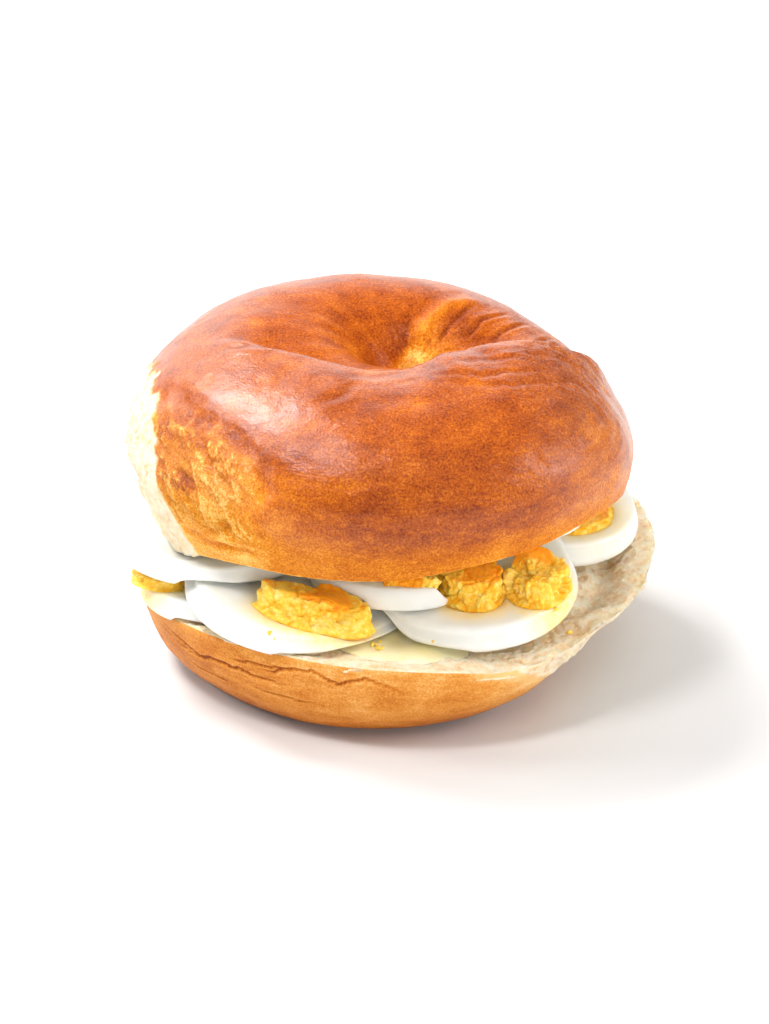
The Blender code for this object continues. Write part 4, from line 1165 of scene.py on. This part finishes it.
def white_material():
    """Boiled egg white: nearly white, soft and a little shiny, faintly yellow near its yolk."""
    made, tree, shader, where = new_material("egg_white_look")
    cloud = noise(tree, where, size=6.0, rough=0.5)
    waves = noise(tree, where, size=2.5, detail=5.0, rough=0.5)
    stain = maths(tree, "MULTIPLY", noise(tree, where, size=2.0, detail=3.0), 2.0)
    stain = maths(tree, "MULTIPLY", fact(tree, "stain"), stain)
    feed(tree, shader, {
        "Base Color": blend(tree, ramp(tree, cloud, WHITE), YOLK_STAIN, stain),
        "Roughness": 0.34,
        "Subsurface Weight": 0.6,
        "Subsurface Radius": (1.0, 0.95, 0.8),
        "Subsurface Scale": 0.005,
        "Coat Weight": 0.15,
        "Coat Roughness": 0.2,
        "Normal": bumped(tree, waves, distance=0.12, strength=0.5),
    })
    return made


def yolk_material():
    """Crumbly hard-boiled yolk: pale and granular where broken, deep orange on its smooth skin."""
    made, tree, shader, where = new_material("yolk_look")
    cloud = noise(tree, where, size=1.4, detail=5.0, rough=0.65)
    grit = bumped(tree, cloud, distance=0.3, strength=0.8)
    grain = maths(tree, "MULTIPLY", fact(tree, "grain"), 0.45)
    broken = ramp(tree, maths(tree, "ADD", grain, maths(tree, "MULTIPLY", cloud, 0.75)), YOLK)
    share = span(tree, swung(tree, fact(tree, "skin"), cloud, 1.0), 0.3, 0.7, 0.0, 1.0)
    feed(tree, shader, {
        "Base Color": blend(tree, broken, ramp(tree, cloud, YOLK_SKIN), share),
        "Roughness": 0.45,
        "Specular IOR Level": 0.35,
        "Subsurface Weight": 0.3,
        "Subsurface Radius": (1.0, 0.7, 0.2),
        "Subsurface Scale": 0.002,
        "Normal": bumped(tree, cells(tree, where, size=0.6), distance=0.12, strength=0.8, under=grit),
    })
    return made


def butter_material():
    """Soft butter, pale yellow and a little shiny, with the knife's long marks."""
    made, tree, shader, where = new_material("butter_look")
    marks = noise(tree, where, size=3.0, rough=0.5, stretch=(2.5, 1, 1))
    feed(tree, shader, {
        "Base Color": ramp(tree, noise(tree, where, size=5.0, rough=0.5), BUTTER),
        "Roughness": 0.3,
        "Coat Weight": 0.4,
        "Coat Roughness": 0.15,
        "Subsurface Weight": 0.3,
        "Subsurface Radius": (1.0, 0.8, 0.3),
        "Subsurface Scale": 0.002,
        "Normal": bumped(tree, marks, distance=0.3, strength=0.6),
    })
    return made


def pale_floor():
    """The plain floor that the sandwich stands on."""
    mesh = bpy.data.meshes.new("floor")
    corners = [(x * FLOOR_HALF, y * FLOOR_HALF, 0) for x, y in ((-1, -1), (1, -1), (1, 1), (-1, 1))]
    mesh.from_pydata(corners, [], [(0, 1, 2, 3)])
    made, tree, shader, _ = new_material("floor_look")
    feed(tree, shader, {"Base Color": FLOOR, "Roughness": 0.7, "Specular IOR Level": 0.1})
    mesh.materials.append(made)
    floor = bpy.data.objects.new("floor", mesh)
    bpy.context.scene.collection.objects.link(floor)


def soft_lights():
    """The lights, each turned to a target over the middle of the floor, and the pale world."""
    for name, (at, target_height, size, watts, glossy) in LIGHTS.items():
        lamp = bpy.data.lights.new(name, "AREA")
        lamp.energy = watts
        lamp.size = size
        made = bpy.data.objects.new(name, lamp)
        made.visible_glossy = glossy
        made.location = at
        made.rotation_euler = (Vector(at) - Vector((0, 0, target_height))).to_track_quat("Z", "Y").to_euler()
        bpy.context.scene.collection.objects.link(made)
    world = bpy.data.worlds.new("studio")
    world.use_nodes = True
    world.node_tree.nodes["Background"].inputs["Color"].default_value = (1, 1, 1, 1)
    world.node_tree.nodes["Background"].inputs["Strength"].default_value = WORLD_LIGHT
    bpy.context.scene.world = world


def photo_camera():
    """The camera of the photograph, in front of the sandwich and over it."""
    made = bpy.data.cameras.new("photo")
    made.lens = LENS
    made.sensor_width = SENSOR
    camera = bpy.data.objects.new("photo", made)
    elevation = np.radians(CAMERA_ELEVATION)
    back = Vector((0, -np.cos(elevation), np.sin(elevation)))
    camera.location = Vector(CAMERA_TARGET) + back
    camera.rotation_euler = (-back).to_track_quat("-Z", "Y").to_euler()
    bpy.context.scene.collection.objects.link(camera)
    bpy.context.scene.camera = camera
    bpy.context.scene.view_settings.view_transform = "Standard"


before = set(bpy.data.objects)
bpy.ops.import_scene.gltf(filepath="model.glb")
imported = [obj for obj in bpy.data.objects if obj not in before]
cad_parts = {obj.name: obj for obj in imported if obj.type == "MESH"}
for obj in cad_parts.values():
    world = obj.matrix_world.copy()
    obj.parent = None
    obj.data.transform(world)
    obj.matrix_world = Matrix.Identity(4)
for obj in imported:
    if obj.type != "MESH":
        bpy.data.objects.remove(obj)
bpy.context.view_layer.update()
crown_piece(bread_material("crown_look", BROWN, shine=1.0, speckle=1.15))
heel_piece(bread_material("heel_look", TAN, shine=0.1, speckle=0.75))
spread_piece(butter_material())
filling(white_material(), yolk_material())
pale_floor()
soft_lights()
photo_camera()
